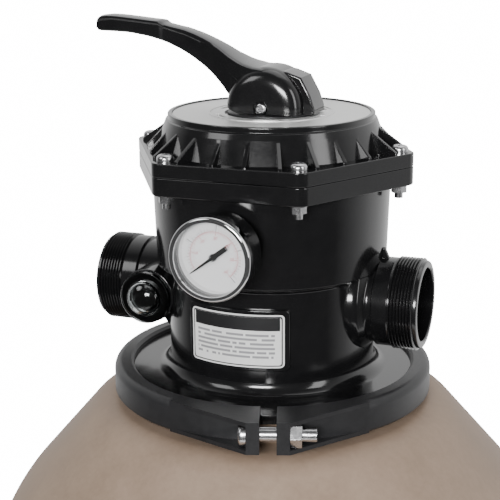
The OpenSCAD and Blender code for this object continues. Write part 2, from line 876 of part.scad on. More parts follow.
module position_plate() {
    color("#c9ccd0") at_valve() translate([0, 0, plate_floor]) difference() {
        union() {
            ring(plate_r, plate_hole_r, plate_t);
            ring(slot_mid_r + 6, slot_mid_r + 4.5, plate_t + 0.6);
        }
        for (i = [0:5]) {
            rotate([0, 0, 60 * i + 30]) translate([0, 0, -cut]) rotate_extrude(angle = 26)
                translate([slot_mid_r - slot_w / 2, 0]) square([slot_w, plate_t + 3 * cut]);
        }
    }
}

// ---- Selector, rotor and shaft ----

module index_washer() {
    color(band_black) at_valve() translate([0, 0, plate_floor + 0.3])
        ring(washer_r, shaft_r + move_gap, washer_top - plate_floor - 0.3);
}

module sector(r_in, r_out, a0, a1, h) {
    mid = (a0 + a1) / 2;
    far = 3 * r_out;
    linear_extrude(h) intersection() {
        difference() {
            circle(r = r_out);
            circle(r = r_in);
        }
        polygon([[0, 0], far * [cos(a0), sin(a0)], far * [cos(mid), sin(mid)],
            far * [cos(a1), sin(a1)]]);
    }
}

module rotor() {
    pocket_h = 20;
    color("#e6e4de") at_valve() translate([0, 0, rotor_low]) difference() {
        union() {
            cylinder(r = rotor_r, h = rotor_disc_t);
            cylinder(r = spring_r + spring_wire_r + 2, h = spring_seat_z - rotor_low);
            cylinder(r = rotor_hub_r, h = rotor_hub_top - rotor_low);
            sector(shaft_r, rotor_r - 4, 0, 120, pocket_h + 4);
            for (a = [180, 240, 300]) {
                rotate([0, 0, a]) translate([spring_r, -2, 0])
                    cube([rotor_r - spring_r - 4, 4, pocket_h]);
            }
        }
        translate([0, 0, -cut]) sector(seat_window_in, seat_window_out, 4, 116, pocket_h + cut);
        translate([0, 0, -cut]) sector(spring_r + 9, seat_window_out, 188, 232, pocket_h);
        translate([0, 0, shaft_low - rotor_low]) cylinder(r = shaft_r, h = tongue_top);
    }
}

module spider_gasket() {
    color(rubber) at_valve() translate([0, 0, seat_z]) linear_extrude(gasket_t) difference() {
        circle(r = rotor_r);
        for (i = [0:5]) {
            rotate(60 * i) window(seat_window_in, seat_window_out, seat_rib);
        }
    }
}

// Coil swept along a helix with a round wire
module rotor_spring() {
    per_turn = 16;
    sides = 8;
    z0 = spring_seat_z + spring_wire_r;
    rise = spring_top - spring_seat_z - 2 * spring_wire_r;
    steps = per_turn * spring_turns;
    points = [for (i = [0:steps], j = [0:sides - 1])
        let (a = 360 * i / per_turn, b = 360 * j / sides, r = spring_r + spring_wire_r * cos(b))
            [r * cos(a), r * sin(a), z0 + rise * i / steps + spring_wire_r * sin(b)]];
    side_faces = [for (i = [0:steps - 1], j = [0:sides - 1])
        let (a = i * sides + j, b = i * sides + (j + 1) % sides)
            each [[a, a + sides, b + sides], [a, b + sides, b]]];
    low_end = [for (j = [0:sides - 1]) j];
    high_end = [for (j = [sides - 1:-1:0]) steps * sides + j];
    color(steel) at_valve() polyhedron(points, concat(side_faces, [low_end, high_end]));
}

module spring_washer() {
    color(steel) at_valve() translate([0, 0, spring_top])
        ring(spring_r + spring_wire_r + 1.5, shaft_r + 2, spring_washer_t);
}

module shaft() {
    color("#e6e4de") at_valve() difference() {
        intersection() {
            translate([0, 0, shaft_low]) cylinder(r = shaft_r, h = tongue_top - shaft_low);
            union() {
                translate([-shaft_r, -shaft_r, shaft_low])
                    cube([2 * shaft_r, 2 * shaft_r, plate_floor - shaft_low]);
                translate([-shaft_r, -tongue_half_w, shaft_low])
                    cube([2 * shaft_r, 2 * tongue_half_w, tongue_top - shaft_low]);
            }
        }
        translate([0, 0, pin_z]) rotate([90, 0, 0])
            cylinder(r = pin_r + running_fit, h = 3 * shaft_r, center = true);
        for (z = seal_z) {
            translate([0, 0, z - seal_ring_r - 0.2])
                ring(shaft_r + cut, shaft_r - 2 * seal_ring_r, 2 * seal_ring_r + 0.4);
        }
    }
}

module shaft_o_rings() {
    color(rubber) at_valve() for (z = seal_z) {
        translate([0, 0, z]) round_ring(shaft_r - seal_ring_r, 2 * seal_ring_r);
    }
}

// ---- Handle, drawn in the plane of X (reach) and Z (height) ----

module side_plate(points, half_w) {
    translate([0, half_w, 0]) rotate([90, 0, 0]) linear_extrude(2 * half_w) polygon(points);
}

module handle_hub() {
    to_front() rotate_extrude() polygon(concat(
        [[0, -hub_half_w]],
        arc([hub_r - 14, -hub_half_w + 14], 14, -90, 0, 6),
        arc([hub_r - 14, hub_half_w - 14], 14, 0, 90, 6),
        [[0, hub_half_w]]));
}

module handle() {
    color(black) at_valve() difference() {
        union() {
            side_plate(concat(arm_top, [[0, pin_z], [-toe_x, pin_z - 3]],
                reversed(arm_under)), grip_half_w - 2.5);
            side_plate(concat(arm_top, [[0, pin_z]], reversed(ridge_line)), grip_half_w);
            translate([-grip_end - 2, -grip_half_w, 0]) intersection() {
                cube([4, 2 * grip_half_w, 2 * grip_z]);
                translate([grip_end + 2, grip_half_w, 0])
                    side_plate(concat(arm_top, reversed(arm_under)), grip_half_w);
            }
            translate([0, 0, pin_z]) handle_hub();
            side_plate([[0, pin_z], [0, pin_z + hub_r - 2], [hub_r - 13, pin_z + hub_r - 3.5],
                [hub_r - 2.5, pin_z + hub_r - 7], [tab_x - 3, pin_z + hub_r - 20],
                [tab_x, pin_z], [tab_x, pin_z - pin_r], [0, pin_z - pin_r]], tab_half_w);
        }
        translate([-2 * handle_reach, -2 * hub_r, handle_under - 2 * hub_r])
            cube([4 * handle_reach, 4 * hub_r, 2 * hub_r]);
        side_plate([[-toe_x, handle_under - cut], [-toe_x, handle_under],
            [-hub_r - toe_x, handle_under + hub_r * tan(press_angle)],
            [-hub_r - toe_x, handle_under - cut]], 2 * hub_r);
        translate([0, 0, pin_z]) to_front() {
            cylinder(r = pin_r, h = 4 * hub_half_w, center = true);
            translate([0, 0, hub_half_w - pin_head_h]) cylinder(r = pin_head_r + 0.8, h = hub_r);
            translate([0, 0, -pin_nut_y - hub_r])
                cylinder(r = pin_nut_flats / 2 / cos(30) + 1.5, h = hub_r);
            translate([0, 0, -tongue_half_w - move_gap])
                cylinder(r = tongue_swing_r, h = 2 * (tongue_half_w + move_gap));
        }
        translate([-tongue_swing_r, -tongue_half_w - move_gap, handle_under - cut])
            cube([2 * tongue_swing_r, 2 * (tongue_half_w + move_gap),
                pin_z - handle_under + cut]);
    }
}

module handle_pin() {
    color(steel) at_valve() translate([0, 0, pin_z]) to_front() difference() {
        union() {
            translate([0, 0, -hub_half_w + 1])
                cylinder(r = pin_r, h = 2 * hub_half_w - 1 - pin_head_h);
            translate([0, 0, hub_half_w - pin_head_h]) rotate_extrude() polygon(concat(
                [[0, 0], [pin_head_r, 0]],
                arc([pin_head_r - 2, pin_head_h - 2], 2, 0, 90, 5), [[0, pin_head_h]]));
        }
        translate([0, 0, hub_half_w]) cross_recess(1.1, 5, 1.6);
    }
}

module handle_pin_nut() {
    color(steel) at_valve() translate([0, pin_nut_y, pin_z]) rotate([-90, 0, 0])
        difference() {
            hex_prism(pin_nut_flats, pin_nut_h);
            translate([0, 0, -cut]) cylinder(r = pin_r, h = pin_nut_h + 2 * cut);
        }
}

// ---- Gauge ----

module gauge_case() {
    color(black) at_valve() at_gauge() difference() {
        translate([0, 0, case_back]) rotate_extrude() polygon([
            [0, 0], [case_r - 2, 0], [case_r, 2], [case_r, gauge_depth - 2], [0, gauge_depth - 2]]);
        translate([0, 0, case_back + 2 * case_wall])
            cylinder(r = case_r - case_wall, h = gauge_depth);
        translate([0, 0, case_back - cut]) cylinder(r = stem_r - 1, h = 2 * case_wall + 2 * cut);
    }
}

module gauge_bezel() {
    color("#d8dadd") at_valve() at_gauge() translate([0, 0, gauge_reach - bezel_len])
        rotate_extrude() polygon(concat(
            [[case_r, 0], [bezel_r - 0.5, 0], [bezel_r, 0.5]],
            arc([bezel_r - 2, bezel_len - 2], 2, 0, 90, 5),
            [[bezel_r - bezel_lip, bezel_len - 0.4],
                [bezel_r - bezel_lip, bezel_len - 1], [case_r - case_wall, bezel_len - 1],
                [case_r - case_wall, bezel_len - 2], [case_r, bezel_len - 2]]));
}

module gauge_lens() {
    color([0.9, 0.95, 1, 0.3]) at_valve() at_gauge() translate([0, 0, lens_back])
        cylinder(r = case_r - case_wall, h = lens_t);
}

module gauge_dial() {
    color("white") at_valve() at_gauge() translate([0, 0, dial_front - dial_t])
        ring(case_r - case_wall, arbor_r + 0.5, dial_t);
}

module gauge_pointer() {
    color("#1a1a1a") at_valve() at_gauge() {
        translate([0, 0, pointer_back]) rotate([0, 0, pointer_angle]) {
            linear_extrude(pointer_t) polygon([[0, -1.1], [pointer_len, -0.35],
                [pointer_len, 0.35], [0, 1.1]]);
            translate([-0.42 * bezel_r, -1.7, 0]) cube([0.42 * bezel_r, 3.4, pointer_t]);
            cylinder(r = 2.6, h = pointer_t + 0.5);
        }
        translate([0, 0, dial_front - dial_t - 5])
            cylinder(r = arbor_r, h = pointer_back - dial_front + dial_t + 5 + pointer_t);
    }
}

module gauge_stem() {
    color("#b08d4c") at_valve() at_gauge() difference() {
        union() {
            translate([0, 0, stem_back]) cylinder(r = stem_r, h = case_back - stem_back);
            translate([0, 0, gauge_boss_face]) hex_prism(stem_hex, case_back - gauge_boss_face);
            translate([0, 0, case_back - cut]) cylinder(r = stem_r - 1, h = 3 + 2 * case_wall);
        }
        translate([0, 0, stem_back - cut]) cylinder(r = 2, h = case_back - stem_back - 2);
    }
}

module gauge_movement() {
    base = case_back + 2 * case_wall + 2;
    color("#b08d4c") at_valve() at_gauge() difference() {
        translate([-movement_w / 2, -6, base])
            cube([movement_w, 12, dial_front - dial_t - base - 1]);
        translate([0, 0, dial_front - dial_t - 8])
            cylinder(r = arbor_r + running_fit, h = 8);
    }
}

module gauge_tube() {
    color("#b08d4c") at_valve() at_gauge() translate([0, 0, case_back + 2 * case_wall + 3])
        rotate([0, 0, 20]) {
            rotate_extrude(angle = 250) translate([0.6 * case_r, 0]) square([1.6, 5]);
            translate([movement_w / 2 + 2.5, 0, 0])
                cube([0.6 * case_r + 1 - movement_w / 2 - 2.5, 3, 5]);
        }
}

// ---- Sight glass and label ----

module sight_glass() {
    color([0.85, 0.9, 0.92, 0.35]) at_valve() at_sight()
        translate([0, 0, sight_face + sight_seal_t]) difference() {
            rotate_extrude() polygon(concat(
                [[0, 0], [sight_ring_r, 0], [sight_ring_r, sight_ring_t - 1],
                    [sight_ring_r - 1, sight_ring_t]],
                [for (i = [0:8]) [sight_dome_r * cos(11.25 * i),
                    sight_ring_t + sight_dome_h * sin(11.25 * i)]]));
            rotate_extrude() polygon(concat([[0, -cut], [sight_dome_r - sight_wall, -cut]],
                [for (i = [0:8]) [(sight_dome_r - sight_wall) * cos(11.25 * i),
                    sight_ring_t - 1 + (sight_dome_h - sight_wall) * sin(11.25 * i)]]));
        }
}

module sight_glass_o_ring() {
    color(rubber) at_valve() at_sight() translate([0, 0, sight_face])
        ring(sight_ring_r - 0.5, sight_hole_r, sight_seal_t);
}

module front_label() {
    color("white") at_valve() intersection() {
        ring(pad_r + label_t, pad_r, joint_z);
        front_block(label_w, label_h, label_corner);
    }
}

// ---- Inside the tank ----

module standpipe() {
    color("#d9d6cf") translate([0, 0, lateral_z]) difference() {
        cylinder(r = standpipe_r, h = tank_h + tube_top - lateral_z);
        translate([0, 0, -cut])
            cylinder(r = standpipe_r - pipe_wall, h = tank_h + tube_top - lateral_z + 2 * cut);
    }
}

module diffuser() {
    color("#d9d6cf") translate([0, 0, diffuser_top]) rotate([180, 0, 0]) difference() {
        union() {
            ring(diffuser_r, standpipe_r, diffuser_t);
            ring(standpipe_r + 5, standpipe_r, 18);
            ring(diffuser_r, diffuser_r - 3, 12);
        }
        for (i = [0:11]) {
            rotate([0, 0, 30 * i]) translate([0.74 * diffuser_r, 0, -cut])
                cylinder(r = 5, h = diffuser_t + 2 * cut);
        }
    }
}

module lateral_hub() {
    dish_floor = waist_z - dish_h + tank_wall;
    color("#d9d6cf") difference() {
        union() {
            translate([0, 0, hub_bottom])
                cylinder(r = lateral_hub_r, h = hub_top - hub_bottom);
            translate([0, 0, dish_floor + 1]) cylinder(r = 14, h = hub_bottom - dish_floor);
        }
        translate([0, 0, lateral_z]) cylinder(r = standpipe_r, h = hub_top);
        translate([0, 0, hub_bottom + 4])
            cylinder(r = standpipe_r - pipe_wall, h = lateral_z - hub_bottom);
        for (i = [0:7]) {
            rotate([0, 0, 45 * i + 22.5]) translate([0, 0, lateral_z - 2]) rotate([0, 90, 0])
                cylinder(r = lateral_r, h = 2 * lateral_hub_r);
        }
    }
}

module lateral(k) {
    color("#3a3a3c") rotate([0, 0, 45 * k + 22.5]) translate([0, 0, lateral_z - 2])
        rotate([0, 90, 0]) difference() {
            translate([0, 0, lateral_start]) cylinder(r = lateral_r, h = lateral_end - lateral_start);
            translate([0, 0, lateral_start - cut]) cylinder(r = lateral_r - pipe_wall + 1,
                h = lateral_end - lateral_start - lateral_end_wall + cut);
            for (i = [1:slot_count]) {
                translate([-lateral_r - cut, -lateral_r, lateral_start + 14 + slot_pitch * i])
                    cube([0.7 * lateral_r, 2 * lateral_r, slot_t]);
            }
        }
}

// ---- Drain, drawn outwards along its own axis ----

module drain_spigot() {
    color(band_black) at_drain() difference() {
        union() {
            translate([0, 0, drain_inner_end])
                cylinder(r = drain_tube_r, h = collar_back - drain_inner_end + cut);
            translate([0, 0, collar_back]) cylinder(r = drain_collar_r, h = drain_collar_t);
            translate([0, 0, collar_back]) rotate_extrude() polygon(concat(
                [[0, 0], [drain_nose_r - 1, 0]],
                [for (i = [0:3], q = [[drain_nose_r - 1, 0.1], [drain_nose_r, 0.4],
                    [drain_nose_r, 0.6], [drain_nose_r - 1, 0.9]])
                    [q[0], drain_collar_t + 2 + 3 * (i + q[1])]],
                [[drain_nose_r - 1, drain_collar_t + drain_nose_len],
                    [0, drain_collar_t + drain_nose_len]]));
        }
        translate([0, 0, drain_inner_end - cut])
            cylinder(r = drain_bore_r, h = drain_nose_end - drain_inner_end + 2 * cut);
    }
}

module drain_gasket() {
    color(rubber) at_drain() translate([0, 0, drain_face])
        ring(drain_collar_r - 1, drain_tube_r, drain_gasket_t);
}

module drain_nut() {
    color(band_black) at_drain() translate([0, 0, drain_inner_face - drain_nut_t]) difference() {
        hex_prism(2 * drain_tube_r + 12, drain_nut_t);
        translate([0, 0, -cut]) cylinder(r = drain_tube_r, h = drain_nut_t + 2 * cut);
    }
}

module drain_screen() {
    screen_len = 26;
    color("#d9d6cf") at_drain() translate([0, 0, drain_inner_end - screen_len]) difference() {
        cylinder(r = drain_bore_r, h = screen_len + 8);
        translate([0, 0, 2]) cylinder(r = drain_bore_r - 1.6, h = screen_len + 8);
        for (a = [0, 90], i = [0:3]) {
            rotate([0, 0, a]) translate([-2, -2 * drain_bore_r, 4 + 5 * i])
                cube([4, 4 * drain_bore_r, 2]);
        }
    }
}

module drain_cap_washer() {
    color(rubber) at_drain() translate([0, 0, drain_nose_end + cap_gap])
        ring(drain_nose_r - 0.5, drain_bore_r + 0.5, cap_washer_t);
}

module drain_cap() {
    cap_r = cap_bore_r + cap_wall;
    color(band_black) at_drain() difference() {
        translate([0, 0, cap_rim]) rotate_extrude() polygon([
            [0, 0], [cap_r, 0], [cap_r, cap_inside + cap_wall - cap_rim - 1.5],
            [cap_r - 1.5, cap_inside + cap_wall - cap_rim], [0, cap_inside + cap_wall - cap_rim]]);
        translate([0, 0, cap_rim - cut])
            cylinder(r = cap_bore_r, h = cap_inside - cap_rim + cut);
        for (i = [0:11]) {
            rotate([0, 0, 30 * i]) translate([cap_r + 0.6, 0, cap_rim - cut])
                cylinder(r = 1.8, h = cap_inside + cap_wall - cap_rim + 2 * cut);
        }
    }
}

tank_shell();
tank_base();
tank_o_ring();
clamp_half_left();
clamp_half_right();
clamp_bolts();
clamp_nuts();
valve_body();
valve_cover();
cover_o_ring();
cover_screws();
cover_washers();
cover_nuts();
position_plate();
index_washer();
rotor();
spider_gasket();
rotor_spring();
spring_washer();
shaft();
shaft_o_rings();
handle();
handle_pin();
handle_pin_nut();
gauge_case();
gauge_bezel();
gauge_lens();
gauge_dial();
gauge_pointer();
gauge_stem();
gauge_movement();
gauge_tube();
sight_glass();
sight_glass_o_ring();
front_label();
standpipe();
diffuser();
lateral_hub();
lateral(0);  // lateral_1
lateral(1);  // lateral_2
lateral(2);  // lateral_3
lateral(3);  // lateral_4
lateral(4);  // lateral_5
lateral(5);  // lateral_6
lateral(6);  // lateral_7
lateral(7);  // lateral_8
drain_spigot();
drain_gasket();
drain_nut();
drain_screen();
drain_cap_washer();
drain_cap();
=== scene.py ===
"""Looks of a top-mount sand filter: tank, clamp, selector valve, gauge and sight glass."""

import json
import logging
import math
from dataclasses import dataclass
from enum import Enum
from typing import Callable, Dict, Iterable, List, Optional, Sequence, Tuple

import bmesh
import bpy
from mathutils import Matrix, Vector


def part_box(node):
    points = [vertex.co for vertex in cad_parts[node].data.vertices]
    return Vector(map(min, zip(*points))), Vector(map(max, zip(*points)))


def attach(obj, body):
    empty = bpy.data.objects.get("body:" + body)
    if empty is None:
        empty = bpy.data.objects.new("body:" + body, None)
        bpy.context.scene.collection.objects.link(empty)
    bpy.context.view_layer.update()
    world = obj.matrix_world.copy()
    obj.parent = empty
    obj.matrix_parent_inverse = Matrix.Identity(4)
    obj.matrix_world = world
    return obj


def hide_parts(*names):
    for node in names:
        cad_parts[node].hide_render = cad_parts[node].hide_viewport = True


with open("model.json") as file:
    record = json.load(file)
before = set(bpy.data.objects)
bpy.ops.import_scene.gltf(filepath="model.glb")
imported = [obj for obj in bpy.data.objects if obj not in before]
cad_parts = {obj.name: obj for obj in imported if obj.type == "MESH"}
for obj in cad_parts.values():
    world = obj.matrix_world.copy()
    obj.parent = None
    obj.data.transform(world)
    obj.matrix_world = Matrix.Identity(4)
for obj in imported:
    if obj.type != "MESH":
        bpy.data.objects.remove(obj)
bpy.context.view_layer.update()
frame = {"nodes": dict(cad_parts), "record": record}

log = logging.getLogger("filter")

Point = Tuple[float, float]
Corner = Tuple[float, float, float]
Colour = Tuple[float, float, float]

MM = 0.001
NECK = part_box("clamp_half_left")[0].z / MM
CREASE = math.radians(32)
SCREW_HOLE = 3.25
OUT_FRONT = "front"
UPRIGHT = Matrix.Rotation(math.pi / 2, 4, "X")


class Cut(Enum):
    """How one solid is combined with others."""

    JOIN = "UNION"
    CARVE = "DIFFERENCE"


# ---- Profiles ----


def arc(centre: Point, radius: float, start: float, end: float, steps: int = 10) -> List[Point]:
    """Points round an arc.

    Args:
        centre: Middle of the arc.
        radius: Its radius.
        start: First angle in degrees.
        end: Last angle in degrees.
        steps: Number of chords.

    Returns:
        The points from start to end.
    """
    turns = [math.radians(start + (end - start) * i / steps) for i in range(steps + 1)]
    return [(centre[0] + radius * math.cos(t), centre[1] + radius * math.sin(t)) for t in turns]


def eased(corners: Sequence[Corner], steps: int = 5, closed: bool = False) -> List[Point]:
    """Line whose corners are rounded.

    Args:
        corners: (x, y, radius) of each corner; radius 0 leaves it sharp.
        steps: Chords in each rounding.
        closed: Whether the last corner joins the first.

    Returns:
        The points of the rounded line.
    """
    out: List[Point] = []
    count = len(corners)
    for i, (x, y, radius) in enumerate(corners):
        here = Vector((x, y))
        ends = not closed and i in (0, count - 1)
        if radius <= 0 or ends:
            out.append((x, y))
            continue
        before = Vector(corners[i - 1][:2]) - here
        after = Vector(corners[(i + 1) % count][:2]) - here
        half = before.angle(after) / 2
        reach = min(radius / math.tan(half), 0.49 * before.length, 0.49 * after.length)
        first = here + before.normalized() * reach
        last = here + after.normalized() * reach
        for k in range(steps + 1):
            t = k / steps
            mix = first * (1 - t) ** 2 + here * 2 * t * (1 - t) + last * t * t
            out.append((mix.x, mix.y))
    return out


def along(track: Sequence[Point], x: float) -> float:
    """Height at x of a line through (x, height) points."""
    for (x0, y0), (x1, y1) in zip(track, track[1:]):
        if x0 <= x <= x1:
            t = (x - x0) / (x1 - x0)
            return y0 + (y1 - y0) * t
    return track[0][1] if x < track[0][0] else track[-1][1]


def rod(radius: float, low: float, high: float) -> List[Point]:
    """Outline of a plain cylinder, from the axis to the axis."""
    return [(0, low), (radius, low), (radius, high), (0, high)]


def tube(inner: float, outer: float, low: float, high: float) -> List[Point]:
    """Outline of a plain ring that stays off the axis."""
    return [(inner, low), (outer, low), (outer, high), (inner, high)]


def oblong(half_x: float, half_y: float) -> List[Point]:
    """Corners of a rectangle about zero."""
    return [(-half_x, -half_y), (half_x, -half_y), (half_x, half_y), (-half_x, half_y)]


# ---- Solids ----


class Solid:
    """A mesh under construction, in millimetres, up from the clamp's underside."""

    def __init__(self) -> None:
        """Start an empty mesh."""
        self.bm = bmesh.new()

    def _spun(self, outline: Sequence[Point], steps: int, closed: bool) -> List[bmesh.types.BMVert]:
        """Turn an outline of (radius, height) about the Z axis and return its vertices."""
        verts = [self.bm.verts.new((max(r, 0.0), 0.0, h)) for r, h in outline]
        edges = [self.bm.edges.new(pair) for pair in zip(verts, verts[1:])]
        if closed:
            edges.append(self.bm.edges.new((verts[-1], verts[0])))
        before = set(self.bm.verts) - set(verts)
        bmesh.ops.spin(self.bm, geom=verts + edges, cent=(0, 0, 0), axis=(0, 0, 1),
                       angle=math.tau, steps=steps, use_merge=True)
        made = [v for v in self.bm.verts if v not in before]
        bmesh.ops.remove_doubles(self.bm, verts=made, dist=1e-4)
        return [v for v in self.bm.verts if v not in before]

    def lathe(self, outline: Sequence[Point], steps: int = 96, closed: bool = False,
              way: str = "z", at: Tuple[float, float, float] = (0, 0, 0)) -> "Solid":
        """Add a turned form.

        Args:
            outline: (radius, height) points, from the axis to the axis unless closed.
            steps: Facets round the turn.
            closed: Whether the outline is a ring that stays off the axis.
            way: Axis that the height runs along: z, x, -x, y or front (-Y).
            at: Where the outline's zero stands.

        Returns:
            This solid.
        """
        made = self._spun(outline, steps, closed)
        turn = {"z": Matrix(), "x": Matrix.Rotation(math.pi / 2, 4, "Y"),
                "-x": Matrix.Rotation(-math.pi / 2, 4, "Y"),
                "y": Matrix.Rotation(-math.pi / 2, 4, "X"),
                OUT_FRONT: UPRIGHT}[way]
        bmesh.ops.transform(self.bm, matrix=Matrix.Translation(at) @ turn, verts=made)
        return self

    def slab(self, outline: Sequence[Point], low: float, high: float, soft: float = 0.0,
             place: Optional[Matrix] = None, both: bool = True) -> "Solid":
        """Add a plate of one outline.

        Args:
            outline: Its corners in X and Y.
            low: Height of its underside.
            high: Height of its top.
            soft: Radius of its eased rims.
            place: Where it goes; None leaves it lying flat.
            both: Whether the underside's rim is eased too.

        Returns:
            This solid.
        """
        verts = [self.bm.verts.new((x, y, low)) for x, y in outline]
        base = self.bm.faces.new(verts)
        raised = bmesh.ops.extrude_face_region(self.bm, geom=[base])
        upper = [g for g in raised["geom"] if isinstance(g, bmesh.types.BMVert)]
        bmesh.ops.translate(self.bm, vec=(0, 0, high - low), verts=upper)
        made = verts + upper
        if soft:
            rims = {e for v in made for e in v.link_edges
                    if abs(e.verts[0].co.z - e.verts[1].co.z) < 1e-6}
            if not both:
                rims = {e for e in rims if e.verts[0].co.z > (low + high) / 2}
            before = set(self.bm.verts) - set(made)
            bmesh.ops.bevel(self.bm, geom=list(rims), offset=soft, segments=3, profile=0.5,
                            affect="EDGES", clamp_overlap=True, material=-1)
            made = [v for v in self.bm.verts if v not in before]
        if place is not None:
            bmesh.ops.transform(self.bm, matrix=place, verts=made)
        return self

    def loft(self, rings: Sequence[Sequence[Vector]]) -> "Solid":
        """Skin closed rings in order and cap both ends."""
        loops: List[List[bmesh.types.BMEdge]] = []
        ends: List[List[bmesh.types.BMVert]] = []
        for ring in rings:
            verts = [self.bm.verts.new(p) for p in ring]
            loops.append([self.bm.edges.new((verts[i - 1], verts[i]))
                          for i in range(len(verts))])
            ends.append(verts)
        for first, second in zip(loops, loops[1:]):
            bmesh.ops.bridge_loops(self.bm, edges=first + second)
        self.bm.faces.new(ends[0])
        self.bm.faces.new(ends[-1])
        return self

    def piece(self, name: str, lift: float = NECK) -> bpy.types.Object:
        """Finish the mesh as an object.

        Args:
            name: The object's name.
            lift: Height of the mesh's zero above the floor, in millimetres.

        Returns:
            The object, at the origin, in metres.
        """
        bmesh.ops.translate(self.bm, vec=(0, 0, lift), verts=self.bm.verts)
        bmesh.ops.scale(self.bm, vec=(MM, MM, MM), verts=self.bm.verts)
        bmesh.ops.recalc_face_normals(self.bm, faces=self.bm.faces)
        mesh = bpy.data.meshes.new(name)
        self.bm.to_mesh(mesh)
        self.bm.free()
        made = bpy.data.objects.new(name, mesh)
        bpy.context.scene.collection.objects.link(made)
        return made


def combine(target: bpy.types.Object, how: Cut, tools: Iterable[bpy.types.Object]) -> None:
    """Join other solids to a target, or carve them out of it, and remove them.

    Args:
        target: The object that changes.
        how: What is done.
        tools: The other solids.
    """
    shelf = bpy.data.collections.new("shelf")
    bpy.context.scene.collection.children.link(shelf)
    spent = list(tools)
    for tool in spent:
        bpy.context.scene.collection.objects.unlink(tool)
        shelf.objects.link(tool)
    step = target.modifiers.new("combine", "BOOLEAN")
    step.operation, step.solver = how.value, "EXACT"
    step.operand_type, step.collection = "COLLECTION", shelf
    step.use_self = how is Cut.JOIN
    graph = bpy.context.evaluated_depsgraph_get()
    mesh = bpy.data.meshes.new_from_object(target.evaluated_get(graph))
    target.modifiers.clear()
    old, target.data = target.data, mesh
    mesh.name = target.name
    bpy.data.meshes.remove(old)
    for tool in spent:
        bpy.data.meshes.remove(tool.data)
    bpy.data.collections.remove(shelf)


def shaded(piece: bpy.types.Object, crease: float = CREASE) -> bpy.types.Object:
    """Shade a piece smooth between its creases and weight its normals by face size."""
    bm = bmesh.new()
    bm.from_mesh(piece.data)
    bmesh.ops.remove_doubles(bm, verts=bm.verts, dist=2e-6)
    for face in bm.faces:
        face.smooth = True
    for edge in bm.edges:
        edge.smooth = edge.calc_face_angle(0) < crease
    bm.to_mesh(piece.data)
    bm.free()
    weigh = piece.modifiers.new("weigh", "WEIGHTED_NORMAL")
    weigh.keep_sharp = True
    return piece


def refined(node: str, name: str, soft: float = 0.0) -> bpy.types.Object:
    """Copy a CAD node with its faces joined and its edges eased, and let it stand for the node.

    Args:
        node: The CAD node.
        name: The new piece's name.
        soft: Width of the eased edges in millimetres; 0 keeps them as they are.

    Returns:
        The new piece.
    """
    bm = bmesh.new()
    bm.from_mesh(frame["nodes"][node].data)
    bmesh.ops.remove_doubles(bm, verts=bm.verts, dist=2e-6)
    if soft:
        bmesh.ops.dissolve_limit(bm, angle_limit=math.radians(0.3), verts=bm.verts,
                                 edges=bm.edges, use_dissolve_boundaries=False)
        sharp = [e for e in bm.edges if e.is_manifold and e.calc_face_angle(0) > CREASE]
        bmesh.ops.bevel(bm, geom=sharp, offset=soft * MM, segments=2, profile=0.5,
                        affect="EDGES", clamp_overlap=True, material=-1)
    mesh = bpy.data.meshes.new(name)
    bm.to_mesh(mesh)
    bm.free()
    made = bpy.data.objects.new(name, mesh)
    bpy.context.scene.collection.objects.link(made)
    shaded(made)
    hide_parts(node)
    return made


def settle(piece: bpy.types.Object, body: str, slot: str, look: bpy.types.Material,
           *nodes: str) -> bpy.types.Object:
    """Give a piece its body and finish.

    Args:
        piece: The piece.
        body: The body that it rides on.
        slot: The record's material slot; not used.
        look: Its material.
        nodes: CAD nodes that it stands for.

    Returns:
        The piece.
    """
    piece.data.materials.clear()
    piece.data.materials.append(look)
    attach(piece, body)
    if nodes:
        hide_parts(*nodes)
    log.info("%s: %d faces on %s", piece.name, len(piece.data.polygons), body)
    return piece


# ---- Shader groups ----


class Sheet:
    """A node tree with short ways to add and link nodes."""

    def __init__(self, tree: bpy.types.NodeTree) -> None:
        """Work on one tree."""
        self.tree = tree

    def add(self, kind: str, links: Optional[Dict[str, object]] = None,
            **settings: object) -> bpy.types.Node:
        """Add a node.

        Args:
            kind: Its type, without the ShaderNode prefix.
            links: Input name or number to an output socket or a constant.
            settings: Attributes of the node.

        Returns:
            The node.
        """
        node = self.tree.nodes.new("ShaderNode" + kind)
        for key, value in settings.items():
            setattr(node, key, value)
        self.feed(node, links or {})
        return node

    def feed(self, node: bpy.types.Node, links: Dict[object, object]) -> None:
        """Link sockets to a node's inputs, or set constants on them."""
        for key, value in links.items():
            socket = node.inputs[key]
            if isinstance(value, bpy.types.NodeSocket):
                self.tree.links.new(value, socket)
            else:
                socket.default_value = value

    def math(self, what: str, a: object, b: object = 0.0, c: object = 0.0) -> bpy.types.NodeSocket:
        """Add a Math node and return its value."""
        return self.add("Math", {0: a, 1: b, 2: c}, operation=what).outputs[0]

    def span(self, value: object, low: float, high: float, to_low: float,
             to_high: float) -> bpy.types.NodeSocket:
        """Map a value from one range to another and return it."""
        return self.add("MapRange", {"Value": value, "From Min": low, "From Max": high,
                                     "To Min": to_low, "To Max": to_high}).outputs[0]

    def blend(self, share: object, first: object, second: object) -> bpy.types.NodeSocket:
        """Mix two colours and return the result."""
        first, second = ((*c, 1.0) if isinstance(c, tuple) else c for c in (first, second))
        return self.add("Mix", {0: share, 6: first, 7: second}, data_type="RGBA").outputs[2]


